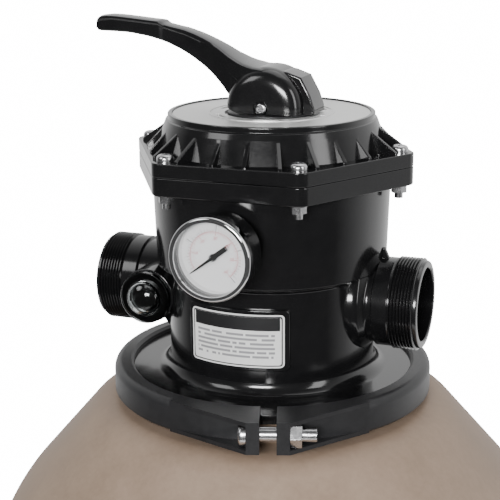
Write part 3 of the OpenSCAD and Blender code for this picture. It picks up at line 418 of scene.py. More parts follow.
def group(name: str, inputs: Dict[str, Tuple[str, float]], outputs: Sequence[str],
          fill: Callable[[Sheet, bpy.types.Node], Sequence[bpy.types.NodeSocket]],
          ) -> bpy.types.NodeTree:
    """Build a node group.

    Args:
        name: The group's name.
        inputs: Input name to (socket type, default).
        outputs: Names of its float outputs.
        fill: Adds the nodes and returns a socket for each output.

    Returns:
        The group.
    """
    tree = bpy.data.node_groups.new(name, "ShaderNodeTree")
    for key, (kind, default) in inputs.items():
        socket = tree.interface.new_socket(key, in_out="INPUT", socket_type=kind)
        if kind == "NodeSocketFloat":
            socket.default_value = default
    for key in outputs:
        tree.interface.new_socket(key, in_out="OUTPUT", socket_type="NodeSocketFloat")
    start = tree.nodes.new("NodeGroupInput")
    end = tree.nodes.new("NodeGroupOutput")
    for key, socket in zip(outputs, fill(Sheet(tree), start)):
        tree.links.new(socket, end.inputs[key])
    return tree


def _mottle(sheet: Sheet, start: bpy.types.Node) -> Sequence[bpy.types.NodeSocket]:
    """Cloudy tone at two scales."""
    place = start.outputs["Place"]
    broad = sheet.add("TexNoise", {"Vector": place, "Scale": start.outputs["Scale"],
                                   "Detail": 3.0, "Roughness": 0.55}).outputs[0]
    fine_scale = sheet.math("MULTIPLY", start.outputs["Scale"], 9.0)
    fine = sheet.add("TexNoise", {"Vector": place, "Scale": fine_scale, "Detail": 4.0,
                                  "Roughness": 0.6}).outputs[0]
    both = sheet.math("ADD", sheet.math("MULTIPLY", broad, 0.6),
                      sheet.math("MULTIPLY", fine, 0.4))
    return [sheet.span(both, 0.35, 0.65, 0.0, 1.0)]


def _grain(sheet: Sheet, start: bpy.types.Node) -> Sequence[bpy.types.NodeSocket]:
    """Fine moulded grain with small dimples."""
    place = start.outputs["Place"]
    noise = sheet.add("TexNoise", {"Vector": place, "Scale": start.outputs["Scale"],
                                   "Detail": 2.0, "Roughness": 0.7}).outputs[0]
    cells = sheet.add("TexVoronoi", {"Vector": place, "Scale": start.outputs["Scale"]})
    return [sheet.math("ADD", noise, sheet.math("MULTIPLY", cells.outputs["Distance"], 0.5))]


def _dust(sheet: Sheet, start: bpy.types.Node) -> Sequence[bpy.types.NodeSocket]:
    """Thin dust on faces that look up."""
    up = sheet.add("SeparateXYZ", {0: sheet.add("NewGeometry").outputs["Normal"]}).outputs[2]
    facing = sheet.span(up, 0.55, 1.0, 0.0, 1.0)
    specks = sheet.add("TexNoise", {"Vector": start.outputs["Place"], "Scale": 160.0,
                                    "Detail": 5.0, "Roughness": 0.75}).outputs[0]
    patch = sheet.span(specks, 0.4, 0.7, 0.0, 1.0)
    return [sheet.math("MULTIPLY", sheet.math("MULTIPLY", facing, patch),
                       start.outputs["Amount"])]


PLACE = ("NodeSocketVector", 0.0)
MOTTLE = group("mottle", {"Place": PLACE, "Scale": ("NodeSocketFloat", 12.0)}, ["Tone"], _mottle)
GRAIN = group("grain", {"Place": PLACE, "Scale": ("NodeSocketFloat", 900.0)}, ["Height"], _grain)
DUST = group("dust", {"Place": PLACE, "Amount": ("NodeSocketFloat", 0.1)}, ["Mask"], _dust)


# ---- Finishes ----


def blank(name: str) -> Tuple[bpy.types.Material, Sheet, bpy.types.Node, bpy.types.NodeSocket]:
    """Start a material.

    Args:
        name: Its name.

    Returns:
        The material, its node tree, its shader and the place on the object.
    """
    made = bpy.data.materials.new(name)
    made.use_nodes = True
    sheet = Sheet(made.node_tree)
    shader = made.node_tree.nodes["Principled BSDF"]
    return made, sheet, shader, sheet.add("TexCoord").outputs["Object"]


@dataclass(frozen=True)
class Finish:
    """A moulded, metal or rubber finish."""

    name: str
    dark: Colour
    light: Colour
    gloss: Tuple[float, float] = (0.4, 0.5)
    metal: float = 0.0
    tone_scale: float = 14.0
    grain_scale: float = 900.0
    grain: float = 0.05
    dust: float = 0.0
    coat: float = 0.0
    coat_gloss: float = 0.05
    glow: float = 0.5

    def material(self) -> bpy.types.Material:
        """Build the material's nodes, once for each finish."""
        known = bpy.data.materials.get(self.name)
        if known:
            return known
        made, sheet, shader, place = blank(self.name)
        made.diffuse_color = (*self.light, 1.0)
        tone = sheet.add("Group", {"Place": place, "Scale": self.tone_scale}, node_tree=MOTTLE)
        colour = sheet.blend(tone.outputs[0], self.dark, self.light)
        rough = sheet.span(tone.outputs[0], 0.0, 1.0, self.gloss[0], self.gloss[1])
        if self.dust:
            dust = sheet.add("Group", {"Place": place, "Amount": self.dust}, node_tree=DUST)
            colour = sheet.blend(dust.outputs[0], colour, (0.42, 0.40, 0.37))
            rough = sheet.math("ADD", rough, sheet.math("MULTIPLY", dust.outputs[0], 0.6))
        grain = sheet.add("Group", {"Place": place, "Scale": self.grain_scale}, node_tree=GRAIN)
        bump = sheet.add("Bump", {"Strength": self.grain, "Distance": 0.0004,
                                  "Height": grain.outputs[0]})
        sheet.feed(shader, {"Base Color": colour, "Roughness": rough, "Normal": bump.outputs[0],
                            "Metallic": self.metal, "Specular IOR Level": self.glow,
                            "Coat Weight": self.coat, "Coat Roughness": self.coat_gloss})
        return made


@dataclass(frozen=True)
class Clear:
    """A clear moulded or glass finish."""

    name: str
    tint: Colour
    rough: float
    index: float = 1.5
    alpha: float = 1.0

    def material(self) -> bpy.types.Material:
        """Build the material's nodes."""
        made, sheet, shader, place = blank(self.name)
        tone = sheet.add("Group", {"Place": place}, node_tree=MOTTLE).outputs[0]
        rough = sheet.span(tone, 0.0, 1.0, self.rough, self.rough + 0.03)
        pale = tuple(0.96 * c for c in self.tint)
        sheet.feed(shader, {"Base Color": sheet.blend(tone, pale, self.tint),
                            "Roughness": rough, "Transmission Weight": 1.0,
                            "IOR": self.index, "Alpha": self.alpha})
        return made


@dataclass(frozen=True)
class Brushed:
    """Satin sheet metal with fine marks that run round a centre."""

    name: str
    dark: Colour
    light: Colour

    def material(self) -> bpy.types.Material:
        """Build the material's nodes."""
        made, sheet, shader, place = blank(self.name)
        parts = sheet.add("SeparateXYZ", {0: place}).outputs
        radius = sheet.math("SQRT", sheet.math("ADD", sheet.math("MULTIPLY", parts[0], parts[0]),
                                               sheet.math("MULTIPLY", parts[1], parts[1])))
        turn = sheet.math("ARCTAN2", parts[1], parts[0])
        polar = sheet.add("CombineXYZ", {0: sheet.math("MULTIPLY", radius, 2600.0),
                                         1: sheet.math("MULTIPLY", turn, 1.6)}).outputs[0]
        marks = sheet.add("TexNoise", {"Vector": polar, "Scale": 1.0, "Detail": 3.0,
                                       "Roughness": 0.6}).outputs[0]
        tone = sheet.add("Group", {"Place": place, "Scale": 30.0}, node_tree=MOTTLE)
        share = sheet.math("ADD", sheet.math("MULTIPLY", marks, 0.7),
                           sheet.math("MULTIPLY", tone.outputs[0], 0.3))
        bump = sheet.add("Bump", {"Strength": 0.08, "Distance": 0.0002, "Height": marks})
        sheet.feed(shader, {"Base Color": sheet.blend(share, self.dark, self.light),
                            "Roughness": sheet.span(share, 0.2, 0.8, 0.36, 0.5),
                            "Normal": bump.outputs[0], "Metallic": 0.85})
        return made


@dataclass(frozen=True)
class Print:
    """White label with a border, a dark header and grey bars in place of words."""

    name: str
    width: float
    height: float
    middle: float

    def material(self) -> bpy.types.Material:
        """Build the material's nodes."""
        made, sheet, shader, place = blank(self.name)
        parts = sheet.add("SeparateXYZ", {0: place}).outputs
        across = sheet.math("MULTIPLY", parts[0], 1000.0)
        up = sheet.math("MULTIPLY", sheet.math("SUBTRACT", parts[2], self.middle * MM), 1000.0)
        side = sheet.math("SUBTRACT", self.width / 2, sheet.math("ABSOLUTE", across))
        edge = sheet.math("SUBTRACT", self.height / 2, sheet.math("ABSOLUTE", up))
        inset = sheet.math("SMOOTH_MIN", side, edge, 3.0)
        border = self._between(sheet, inset, 1.1, 1.9)
        head = sheet.math("MULTIPLY", self._between(sheet, up, 0.2 * self.height,
                                                    0.45 * self.height),
                          self._between(sheet, across, -0.46 * self.width, 0.46 * self.width))
        row = sheet.math("DIVIDE", sheet.math("SUBTRACT", 0.15 * self.height, up), 3.2)
        inside = sheet.math("MULTIPLY", self._between(sheet, row, 0.0, 6.0),
                            self._between(sheet, across, -0.43 * self.width, 0.41 * self.width))
        stroke = self._between(sheet, sheet.math("FRACT", row), 0.22, 0.74)
        column = sheet.math("FLOOR", sheet.math("MULTIPLY", across, 0.62))
        cell = sheet.add("CombineXYZ", {0: column, 1: sheet.math("FLOOR", row)}).outputs[0]
        word = sheet.add("TexWhiteNoise", {0: cell}, noise_dimensions="3D").outputs[0]
        bars = sheet.math("MULTIPLY", sheet.math("MULTIPLY", inside, stroke),
                          sheet.math("GREATER_THAN", word, 0.17))
        tone = sheet.add("Group", {"Place": place, "Scale": 40.0}, node_tree=MOTTLE).outputs[0]
        paper = sheet.blend(tone, (0.80, 0.80, 0.79), (0.88, 0.88, 0.87))
        ink = sheet.blend(bars, paper, (0.30, 0.30, 0.31))
        ink = sheet.blend(sheet.math("MAXIMUM", border, head), ink, (0.012, 0.012, 0.013))
        sheet.feed(shader, {"Base Color": ink,
                            "Roughness": sheet.span(tone, 0.0, 1.0, 0.38, 0.46)})
        return made

    @staticmethod
    def _between(sheet: Sheet, value: object, low: float, high: float) -> bpy.types.NodeSocket:
        """Mask that is 1 where a value lies between two others."""
        return sheet.math("MULTIPLY", sheet.math("GREATER_THAN", value, low),
                          sheet.math("LESS_THAN", value, high))


class Looks:
    """Every material, built once."""

    def __init__(self) -> None:
        """Build the materials."""
        self.tank = Finish("tank_beige", (0.262, 0.186, 0.132), (0.325, 0.236, 0.173),
                           gloss=(0.5, 0.62), tone_scale=26.0, grain_scale=620.0,
                           grain=0.12).material()
        self.base = Finish("skirt_black", (0.014, 0.014, 0.015), (0.022, 0.022, 0.024),
                           gloss=(0.42, 0.52), grain_scale=700.0, grain=0.2,
                           dust=0.05).material()
        self.gloss = Finish("gloss_black", (0.0055, 0.0055, 0.006), (0.0085, 0.0085, 0.009),
                            gloss=(0.13, 0.19), grain_scale=260.0, grain=0.035, coat=0.25,
                            coat_gloss=0.08).material()
        self.satin = Finish("satin_black", (0.012, 0.012, 0.013), (0.02, 0.02, 0.0215),
                            gloss=(0.36, 0.44), grain_scale=1100.0, grain=0.22).material()
        self.steel = Finish("bright_screws", (0.5, 0.5, 0.51), (0.66, 0.66, 0.67),
                            gloss=(0.2, 0.3), metal=1.0, tone_scale=120.0,
                            grain=0.06).material()
        self.chrome = Finish("bright_bezel", (0.62, 0.62, 0.63), (0.74, 0.74, 0.75),
                             gloss=(0.06, 0.1), metal=1.0, tone_scale=60.0,
                             grain=0.01).material()
        self.brass = Finish("worn_brass", (0.42, 0.27, 0.1), (0.56, 0.38, 0.17),
                            gloss=(0.25, 0.4), metal=1.0, tone_scale=90.0,
                            grain=0.08).material()
        self.rubber = Finish("seal_rubber", (0.01, 0.01, 0.01), (0.02, 0.02, 0.02),
                             gloss=(0.6, 0.72), grain=0.15).material()
        self.inner = Finish("inner_white", (0.58, 0.56, 0.5), (0.68, 0.66, 0.6),
                            gloss=(0.4, 0.5), grain=0.08).material()
        self.lateral = Finish("lateral_dark", (0.03, 0.03, 0.032), (0.045, 0.045, 0.048),
                              gloss=(0.4, 0.5), grain=0.1).material()
        self.dial = Finish("dial_paper", (0.85, 0.85, 0.85), (0.9, 0.9, 0.9),
                           gloss=(0.4, 0.48), tone_scale=50.0, grain=0.02).material()
        self.ink = Finish("dial_ink", (0.006, 0.006, 0.006), (0.012, 0.012, 0.012),
                          gloss=(0.4, 0.5), grain=0.02).material()
        self.red_ink = Finish("dial_red_ink", (0.5, 0.03, 0.05), (0.62, 0.05, 0.08),
                              gloss=(0.4, 0.5), grain=0.02).material()
        self.plate = Brushed("satin_plate", (0.72, 0.72, 0.71), (0.88, 0.88, 0.87)).material()
        self.lens = Clear("lens_glass", (0.97, 0.98, 1.0), 0.0, 1.45, 0.2).material()
        self.sight = Clear("sight_dome", (0.86, 0.9, 0.9), 0.03, 1.49).material()

    def by_slot(self) -> Dict[str, bpy.types.Material]:
        """Material for each of the record's slots."""
        return {"tank_plastic": self.tank, "base_plastic": self.base,
                "clamp_plastic": self.satin, "stainless": self.steel,
                "valve_plastic": self.gloss, "silver_plate": self.plate,
                "inner_plastic": self.inner, "lateral_plastic": self.lateral,
                "rubber": self.rubber, "gauge_black": self.gloss,
                "bezel_chrome": self.chrome, "gauge_lens": self.lens,
                "dial_white": self.dial, "pointer_black": self.ink, "brass": self.brass,
                "sight_clear": self.sight, "label_paper": self.dial}


# ---- Tank ----


@dataclass
class Tank:
    """Moulded tank with its drain boss, standing in the base skirt. Sizes in millimetres."""

    radius: float = 225.0
    wall: float = 6.0
    slope: float = 49.0
    knuckle: float = 163.0
    seat_start: float = 140.0
    seat_edge: float = 30.0
    seat_drop: float = 5.7
    waist: float = 186.0
    waist_low: float = 100.0
    waist_high: float = 156.0
    flare: float = 60.0
    dish: float = 60.0
    neck_bore: float = 88.0
    neck: float = 103.0
    flange: float = 112.0
    lip: float = 4.5
    flange_top: float = 11.5
    drain_height: float = 128.0
    drain_boss: float = 28.0
    drain_bore: float = 17.05
    boss_root: float = 174.0
    groove_in: float = 94.45
    groove_out: float = 98.55
    groove_floor: float = 8.0
    steps: int = 160

    def outline(self, inset: float) -> List[Point]:
        """Side of the tank from the dish to the seat.

        Args:
            inset: Distance inside the outer face.

        Returns:
            (radius, height) points, upwards.
        """
        slope = math.radians(self.slope)
        top = NECK - self.seat_drop
        corner = (self.seat_start - self.seat_edge * math.sin(slope), top - self.seat_edge)
        shoulder_z = corner[1] + self.seat_edge * math.cos(slope)
        centre = self.radius - self.knuckle
        end_r = centre + self.knuckle * math.sin(slope)
        end_z = shoulder_z - (end_r - self.seat_start) * math.tan(slope)
        knuckle_z = end_z - self.knuckle * math.cos(slope)
        waist = self.waist - inset
        bowl = [(waist * math.sin(math.radians(t * 3.75)),
                 self.waist_low - (self.dish - inset) * math.cos(math.radians(t * 3.75)))
                for t in range(25)]
        grow = self.radius - self.waist
        flare = [(waist + grow * (1 - math.cos(math.pi * i / 24)) / 2,
                  self.waist_high + self.flare * i / 24) for i in range(25)]
        side = arc((centre, knuckle_z), self.knuckle - inset, 0, 90 - self.slope, 28)
        seat = arc(corner, self.seat_edge - inset, 90 - self.slope, 90, 18)
        return bowl + flare + side + seat

    def build(self, looks: Looks) -> None:
        """Turn the tank, add the drain boss and dress both."""
        outer = self.outline(0.0)
        inner = self.outline(self.wall)
        seat = NECK - self.seat_drop
        top, groove = NECK + self.flange_top, NECK + self.groove_floor
        rim = [(self.neck + 3.0, seat), (self.neck + 0.9, seat + 0.9), (self.neck, seat + 3.0),
               (self.neck, NECK + self.lip), (self.flange, NECK + self.lip), (self.flange, top),
               (self.groove_out, top), (self.groove_out, groove), (self.groove_in, groove),
               (self.groove_in, top), (self.neck_bore, top), (self.neck_bore, seat - self.wall)]
        shell = Solid().lathe(outer + rim + inner[::-1], self.steps).piece("tank_body", 0.0)
        face = self.waist + 5
        boss = eased([(0, self.boss_root, 0), (self.drain_boss, self.boss_root, 0),
                      (self.drain_boss, face, 1.5), (0, face, 0)])
        outward = {"way": OUT_FRONT, "at": (0, 0, self.drain_height)}
        combine(shell, Cut.JOIN, [Solid().lathe(boss, 64, **outward).piece("boss", 0.0)])
        bore = Solid().lathe(rod(self.drain_bore, 150, 210), 64, **outward).piece("bore", 0.0)
        combine(shell, Cut.CARVE, [bore])
        settle(shaded(shell), "filter", "tank_plastic", looks.tank, "tank_shell")


# ---- Valve ----


@dataclass
class ValveBody:
    """Housing with two drums, three threaded ports and the bosses. Heights from the clamp."""

    lower: float = 77.0
    upper: float = 85.5
    upper_top: float = 87.5
    ledge: float = 99.0
    flange_low: float = 162.0
    joint: float = 175.0
    base: float = 11.5
    base_top: float = 18.5
    flange: float = 112.0
    cove: float = 10.0
    screw_circle: float = 96.0
    corner: float = 10.0
    port_z: float = 74.0
    port_neck: float = 30.5
    collar: float = 32.5
    thread: float = 33.7
    thread_root: float = 32.0
    pitch: float = 2.31
    ridges: int = 8
    socket: float = 26.8
    socket_depth: float = 30.0
    passage: float = 22.0
    sight_x: float = -82.0
    sight_r: float = 20.4
    sight_face: float = 46.0
    sight_bore: float = 14.4
    gauge_z: float = 130.0
    gauge_bore: float = 6.5
    spigot: float = 87.7
    spigot_low: float = 4.0
    chamber: float = 79.5
    pipe: float = 30.05
    pipe_bore: float = 25.05

    def hexagon(self) -> List[Point]:
        """Outline of the flange: a hexagon with a round boss at each corner."""
        out: List[Point] = []
        for i in range(6):
            turn = 60.0 * i
            x = self.screw_circle * math.cos(math.radians(turn))
            y = self.screw_circle * math.sin(math.radians(turn))
            out += arc((x, y), self.corner, turn - 30, turn + 30, 10)
        return out

    def drum(self) -> List[Point]:
        """Outline of the two drums with the base flange and the spigot."""
        cove = arc((self.lower + self.cove, self.base_top + self.cove), self.cove, 270, 180, 12)
        return (rod(self.spigot, self.spigot_low, self.base)[:3]
                + eased([(self.spigot, self.base, 0), (self.flange, self.base, 0.6),
                         (self.flange, self.base_top, 0.8),
                         (cove[0][0], cove[0][1], 0)]) + cove[1:]
                + eased([(self.lower, self.base_top + self.cove, 0),
                         (self.lower, self.ledge - 4.6, 2.5), (self.upper, self.ledge, 1.2),
                         (self.upper_top, self.flange_low, 0), (self.upper_top, self.joint, 0),
                         (0, self.joint, 0)])[1:])

    def port(self, reach: float) -> List[Point]:
        """Outline of a port that ends at reach: root, neck, collar and thread ridges."""
        start = reach - 2.5 - self.ridges * self.pitch
        collar = start - 12.5
        out = [(0, 60), (38.0, 60)]
        out += eased([(38.0, 72, 0), (36.0, 76, 3), (self.port_neck, 80.5, 3),
                      (self.port_neck, collar, 0.6), (self.collar, collar + 0.8, 0.5),
                      (self.collar, start - 0.8, 0.6), (self.thread_root, start, 0)])
        for i in range(self.ridges):
            low = start + self.pitch * i
            out += [(self.thread_root, low + 0.25), (self.thread - 0.25, low + 0.85),
                    (self.thread, low + 1.05), (self.thread, low + 1.25),
                    (self.thread - 0.25, low + 1.45), (self.thread_root, low + 2.05)]
        out += [(self.thread_root, reach - 1.2), (self.thread_root - 0.4, reach - 0.4),
                (self.thread_root - 1.2, reach), (0, reach)]
        return out

    def bore(self, reach: float) -> List[Point]:
        """Outline of what is hollow in a port: the socket, its step and the passage."""
        step = reach - self.socket_depth
        return [(0, 55), (self.passage, 55), (self.passage, step - 1.0),
                (self.passage + 1.0, step), (self.socket, step), (self.socket, reach - 0.8),
                (self.socket + 0.8, reach + 0.01), (self.socket + 0.8, reach + 4), (0, reach + 4)]

    def ports(self) -> List[Tuple[str, float]]:
        """Way and reach of each port."""
        return [("x", 118.0), ("y", 118.0), ("-x", 132.0)]

    def pad(self) -> bpy.types.Object:
        """Raised pad that carries the label, curved round the drum."""
        wide, tall, round_ = 37.5, 22.5, 3.5
        rim = eased([(x, y, round_) for x, y in oblong(wide, tall)], 6, closed=True)
        solid = Solid()
        solid.slab(rim, 0.0, 12.0, 0.9, both=False)
        for i in range(1, 12):
            cut = -wide + 2 * wide * i / 12
            bmesh.ops.bisect_plane(solid.bm, geom=[*solid.bm.verts, *solid.bm.edges,
                                                   *solid.bm.faces],
                                   plane_co=(cut, 0, 0), plane_no=(1, 0, 0))
        outside = self.lower + 2.6
        for v in solid.bm.verts:
            x, up, out = v.co
            v.co = (x, -(math.sqrt(outside ** 2 - x ** 2) - 12.0 + out), 60.0 + up)
        return solid.piece("pad")

    def build(self, looks: Looks) -> None:
        """Join the outer forms, carve the hollows and dress the body."""
        body = Solid().lathe(self.drum(), 160).piece("valve_housing")
        here = (0, 0, self.port_z)
        glass = {"way": OUT_FRONT, "at": (self.sight_x, 0, self.port_z)}
        dial = {"way": OUT_FRONT, "at": (0, 0, self.gauge_z)}
        forms = [Solid().slab(self.hexagon(), self.flange_low, self.joint, 0.9).piece("hex"),
                 self.pad()]
        forms += [Solid().lathe(self.port(reach), 112, way=way, at=here).piece("port")
                  for way, reach in self.ports()]
        sight = eased([(0, 0, 0), (self.sight_r + 1, 0, 0), (self.sight_r, 20, 0),
                       (self.sight_r, self.sight_face, 0.9), (0, self.sight_face, 0)])
        forms.append(Solid().lathe(sight, 72, **glass).piece("sight"))
        gauge = eased([(0, 60, 0), (15, 60, 0), (13, 84, 0), (13, 90.5, 1.0), (0, 90.5, 0)])
        forms.append(Solid().lathe(gauge, 56, **dial).piece("gauge_boss"))
        forms.append(Solid().lathe(rod(self.pipe, -24.5, 20), 64).piece("pipe"))
        fin = [(70.0, 96.0), (91.5, 96.0), (91.5, 104.5), (87.2, 114.0), (70.0, 114.0)]
        for side in (1, -1):
            flip = Matrix.Diagonal((side, 1, 1, 1))
            forms.append(Solid().slab(fin, -2.0, 2.0, 0.6, place=flip @ UPRIGHT).piece("fin"))
        combine(body, Cut.JOIN, forms)
        hollows = [Solid().lathe(rod(self.chamber, 118, 190), 96),
                   Solid().lathe(tube(32, 71, 17.5, 112), 96, True),
                   Solid().lathe(rod(self.pipe_bore, -40, 60), 64),
                   Solid().lathe(tube(31, self.spigot - 5, -5, self.base), 96, True),
                   Solid().lathe(rod(self.sight_bore, 20, 60), 48, **glass),
                   Solid().lathe(rod(self.gauge_bore, 70, 100), 32, **dial)]
        hollows += [Solid().lathe(self.bore(reach), 96, way=way, at=here)
                    for way, reach in self.ports()]
        hollows += [screw_hole(self.screw_circle, 60.0 * i, 150, 190) for i in range(6)]
        combine(body, Cut.CARVE, [h.piece("hollow") for h in hollows])
        settle(shaded(body), "filter", "valve_plastic", looks.gloss, "valve_body")


def screw_hole(circle: float, turn: float, low: float, high: float) -> Solid:
    """Cylinder for one cover screw's hole."""
    x, y = circle * math.cos(math.radians(turn)), circle * math.sin(math.radians(turn))
    return Solid().lathe(rod(SCREW_HOLE, low, high), 24, at=(x, y, 0))


@dataclass
class Cover:
    """Ribbed cover over the rotor chamber, with its recess for the position plate."""

    joint: float = 175.0
    plate: float = 10.0
    rim: float = 75.5
    top: float = 210.0
    floor: float = 207.5
    ribs: int = 24
    rib_t: float = 3.0
    corner: float = 10.0
    screw_circle: float = 96.0
    dome: float = 72.0
    deck: float = 199.0
    gland: float = 12.05

    def shell(self) -> List[Point]:
        """Outline of the turned part of the cover."""
        return eased([(0, self.joint + 1, 0), (84.5, self.joint + 1, 0), (84.0, 184.5, 1.5),
                      (78.5, 201.5, 2.0), (77.0, 205.4, 0.8), (self.rim, 206.2, 0.6),
                      (self.rim, self.top, 0.9), (72.3, self.top, 0.6),
                      (72.3, self.floor, 0), (0, self.floor, 0)])

    def rib(self, turn: float) -> bpy.types.Object:
        """One gusset rib.

        Args:
            turn: Its direction in degrees.

        Returns:
            The rib.
        """
        apothem = self.screw_circle * math.cos(math.radians(30)) + self.corner
        off = abs(turn % 60 - 30)
        foot = apothem / math.cos(math.radians(off)) - 3.0
        shape = [(74.0, 178.0), (foot, 178.0), (foot, 186.6), (75.0, 203.2), (74.0, 203.2)]
        aimed = Matrix.Rotation(math.radians(turn), 4, "Z") @ UPRIGHT
        half = self.rib_t / 2
        return Solid().slab(shape, -half, half, 0.55, place=aimed).piece("rib")

    def build(self, looks: Looks) -> None:
        """Join the flange, the cone and the ribs, carve the hollows and dress the cover."""
        body = Solid().lathe(self.shell(), 160).piece("ribbed_cover")
        hexagon = ValveBody().hexagon()
        forms = [Solid().slab(hexagon, self.joint, self.joint + self.plate, 0.9).piece("hex")]
        forms += [self.rib(360 / self.ribs * (i + 0.5)) for i in range(self.ribs)]
        combine(body, Cut.JOIN, forms)
        combine(body, Cut.CARVE,
                [Solid().lathe([(0, 160), (self.dome, 160), (self.dome, self.deck),
                                (20, self.deck), (20, 192), (0, 192)], 96).piece("dome"),
                 Solid().lathe(rod(self.gland, 150, 230), 64).piece("gland")]
                + [screw_hole(self.screw_circle, 60.0 * i, 170, 210).piece("hole")
                   for i in range(6)])
        settle(shaded(body), "filter", "valve_plastic", looks.gloss, "valve_cover")


# ---- Handle ----


@dataclass
class Handle:
    """Lever with a capped arm that swells into its hub. X is the reach, heights from the clamp."""

    pin_z: float = 214.4
    under: float = 210.4
    hub_r: float = 28.8
    hub_half: float = 24.0
    hub_round: float = 13.5
    tail_half: float = 13.0
    tail_round: float = 1.6
    pin_r: float = 2.5
    toe_x: float = -17.0
    toe_run: float = 32.0
    press: float = 18.0
    clear_low: float = 140.0
    slot_half: float = 9.4
    slot_r: float = 16.2
    rim: float = 1.6
    top: Tuple[Point, ...] = (
        (-136, 266), (-135.4, 270.5), (-134.4, 274.0), (-132, 276.1), (-126, 276.7),
        (-120, 276.6), (-113, 276.0), (-104, 275.2), (-94, 274.2), (-84.5, 273.4),
        (-81, 271.2), (-75, 269.8), (-65, 267.9), (-55.6, 264.9), (-45.6, 260.8),
        (-36.6, 256.1), (-27.6, 250.6), (-18, 246.0), (-8, 243.4), (4, 242.2))
    low: Tuple[Point, ...] = (
        (-136, 265.6), (-134.5, 264.9), (-131, 264.6), (-117, 264.3), (-108, 263.8),
        (-100.7, 262.7), (-92.7, 261.4), (-84.7, 259.4), (-76.8, 256.7), (-68.9, 253.4),
        (-61, 249.3), (-53.3, 244.5), (-45.5, 238.9), (-37.8, 232.1), (-30, 223.6),
        (-24, 216.5), (4, 205))
    ridge: Tuple[Point, ...] = (
        (-136, 269), (-133, 272.6), (-123, 273.6), (-104, 272.6), (-85, 270.4), (-80, 268.0),
        (-64, 263.6), (-47, 257.4), (-40, 250.6), (-33, 242.5), (-27, 237.5), (-20, 232.5),
        (4, 215))
    width: Tuple[Point, ...] = (
        (-136, 6.6), (-134.8, 8.4), (-132, 9.5), (-126, 9.9), (-84, 9.9), (-81.5, 9.1),
        (-60, 9.4), (-45, 10.4), (-34, 12.6), (-24, 15.6), (-12, 18.6), (4, 20.5))

    def ring(self, x: float) -> List[Vector]:
        """Section of the arm at x: an arched cap over a narrower web."""
        top, low = along(self.top, x), along(self.low, x)
        ridge, half = along(self.ridge, x), along(self.width, x)
        ridge = max(min(ridge, top - 3.0), low + 1.5)
        web = half - self.rim
        crown = min(0.8, (top - ridge) * 0.4)
        right = [(0.0, top), (half * 0.45, top - crown * 0.16), (half * 0.75, top - crown * 0.55),
                 (half * 0.93, top - crown * 1.05), (half, top - crown * 2.0),
                 (half, ridge + 0.7), (half - 0.35, ridge + 0.15), (half - 0.8, ridge),
                 (web + 0.35, ridge - 0.15), (web, ridge - 0.6), (web, low + 1.1),
                 (web - 0.5, low + 0.35), (web - 1.2, low), (web * 0.5, low)]
        left = [(-y, z) for y, z in right[::-1] if y > 0]
        return [Vector((x, y, z)) for y, z in right + left]

    def build(self, looks: Looks) -> None:
        """Loft the arm, join the hub and the tail, carve the slot and dress the handle."""
        stops = [-136, -135.7, -135.3, -134.8, -134, -133, -131.5, -129]
        stops += [-126 + 4 * i for i in range(10)]
        stops += [-86.5, -85, -84.2, -83.4, -82.2, -81, -79, -76, -72, -68, -64]
        stops += [-60 + 4 * i for i in range(16)]
        lever = Solid().loft([self.ring(x) for x in stops]).piece("lever")
        hub = eased([(0, -self.hub_half, 0), (self.hub_r, -self.hub_half, self.hub_round),
                     (self.hub_r, self.hub_half, self.hub_round), (0, self.hub_half, 0)], 12)
        forms = [Solid().lathe(hub, 96, way=OUT_FRONT, at=(0, 0, self.pin_z)).piece("hub")]
        tail = [(0.0, 241.4), (16.0, 239.9), (26.5, 236.2), (33.5, 223.4), (36.4, 214.4),
                (36.4, 209.0), (0.0, 209.0)]
        forms.append(Solid().slab(tail, -self.tail_half, self.tail_half, self.tail_round,
                                  place=UPRIGHT).piece("tail"))
        combine(lever, Cut.JOIN, forms)
        reach, deep = 200.0, 60.0
        slot = self.slot_half
        rise = self.toe_run * math.tan(math.radians(self.press))
        toe = [(self.toe_x, self.clear_low), (self.toe_x, self.under),
               (self.toe_x - self.toe_run, self.under + rise),
               (self.toe_x - self.toe_run, self.clear_low)]
        across = {"way": OUT_FRONT, "at": (0, 0, self.pin_z)}
        tools = [Solid().slab(oblong(reach, deep), self.clear_low, self.under),
                 Solid().slab(oblong(self.slot_r, slot), 200.0, self.pin_z),
                 Solid().slab(toe, -deep, deep, place=UPRIGHT),
                 Solid().lathe(rod(self.slot_r, -slot, slot), 64, **across),
                 Solid().lathe(rod(self.pin_r, -40, 40), 32, **across),
                 Solid().lathe([(0, 21), (5.2, 21), (5.2, 23.2), (5.8, 24.5), (5.8, 40),
                                (0, 40)], 40, **across),
                 Solid().lathe(rod(6.1, -40, -20), 40, **across)]
        combine(lever, Cut.CARVE, [t.piece("tool") for t in tools])
        settle(shaded(lever), "handle", "valve_plastic", looks.gloss, "handle")


# ---- Gauge ----


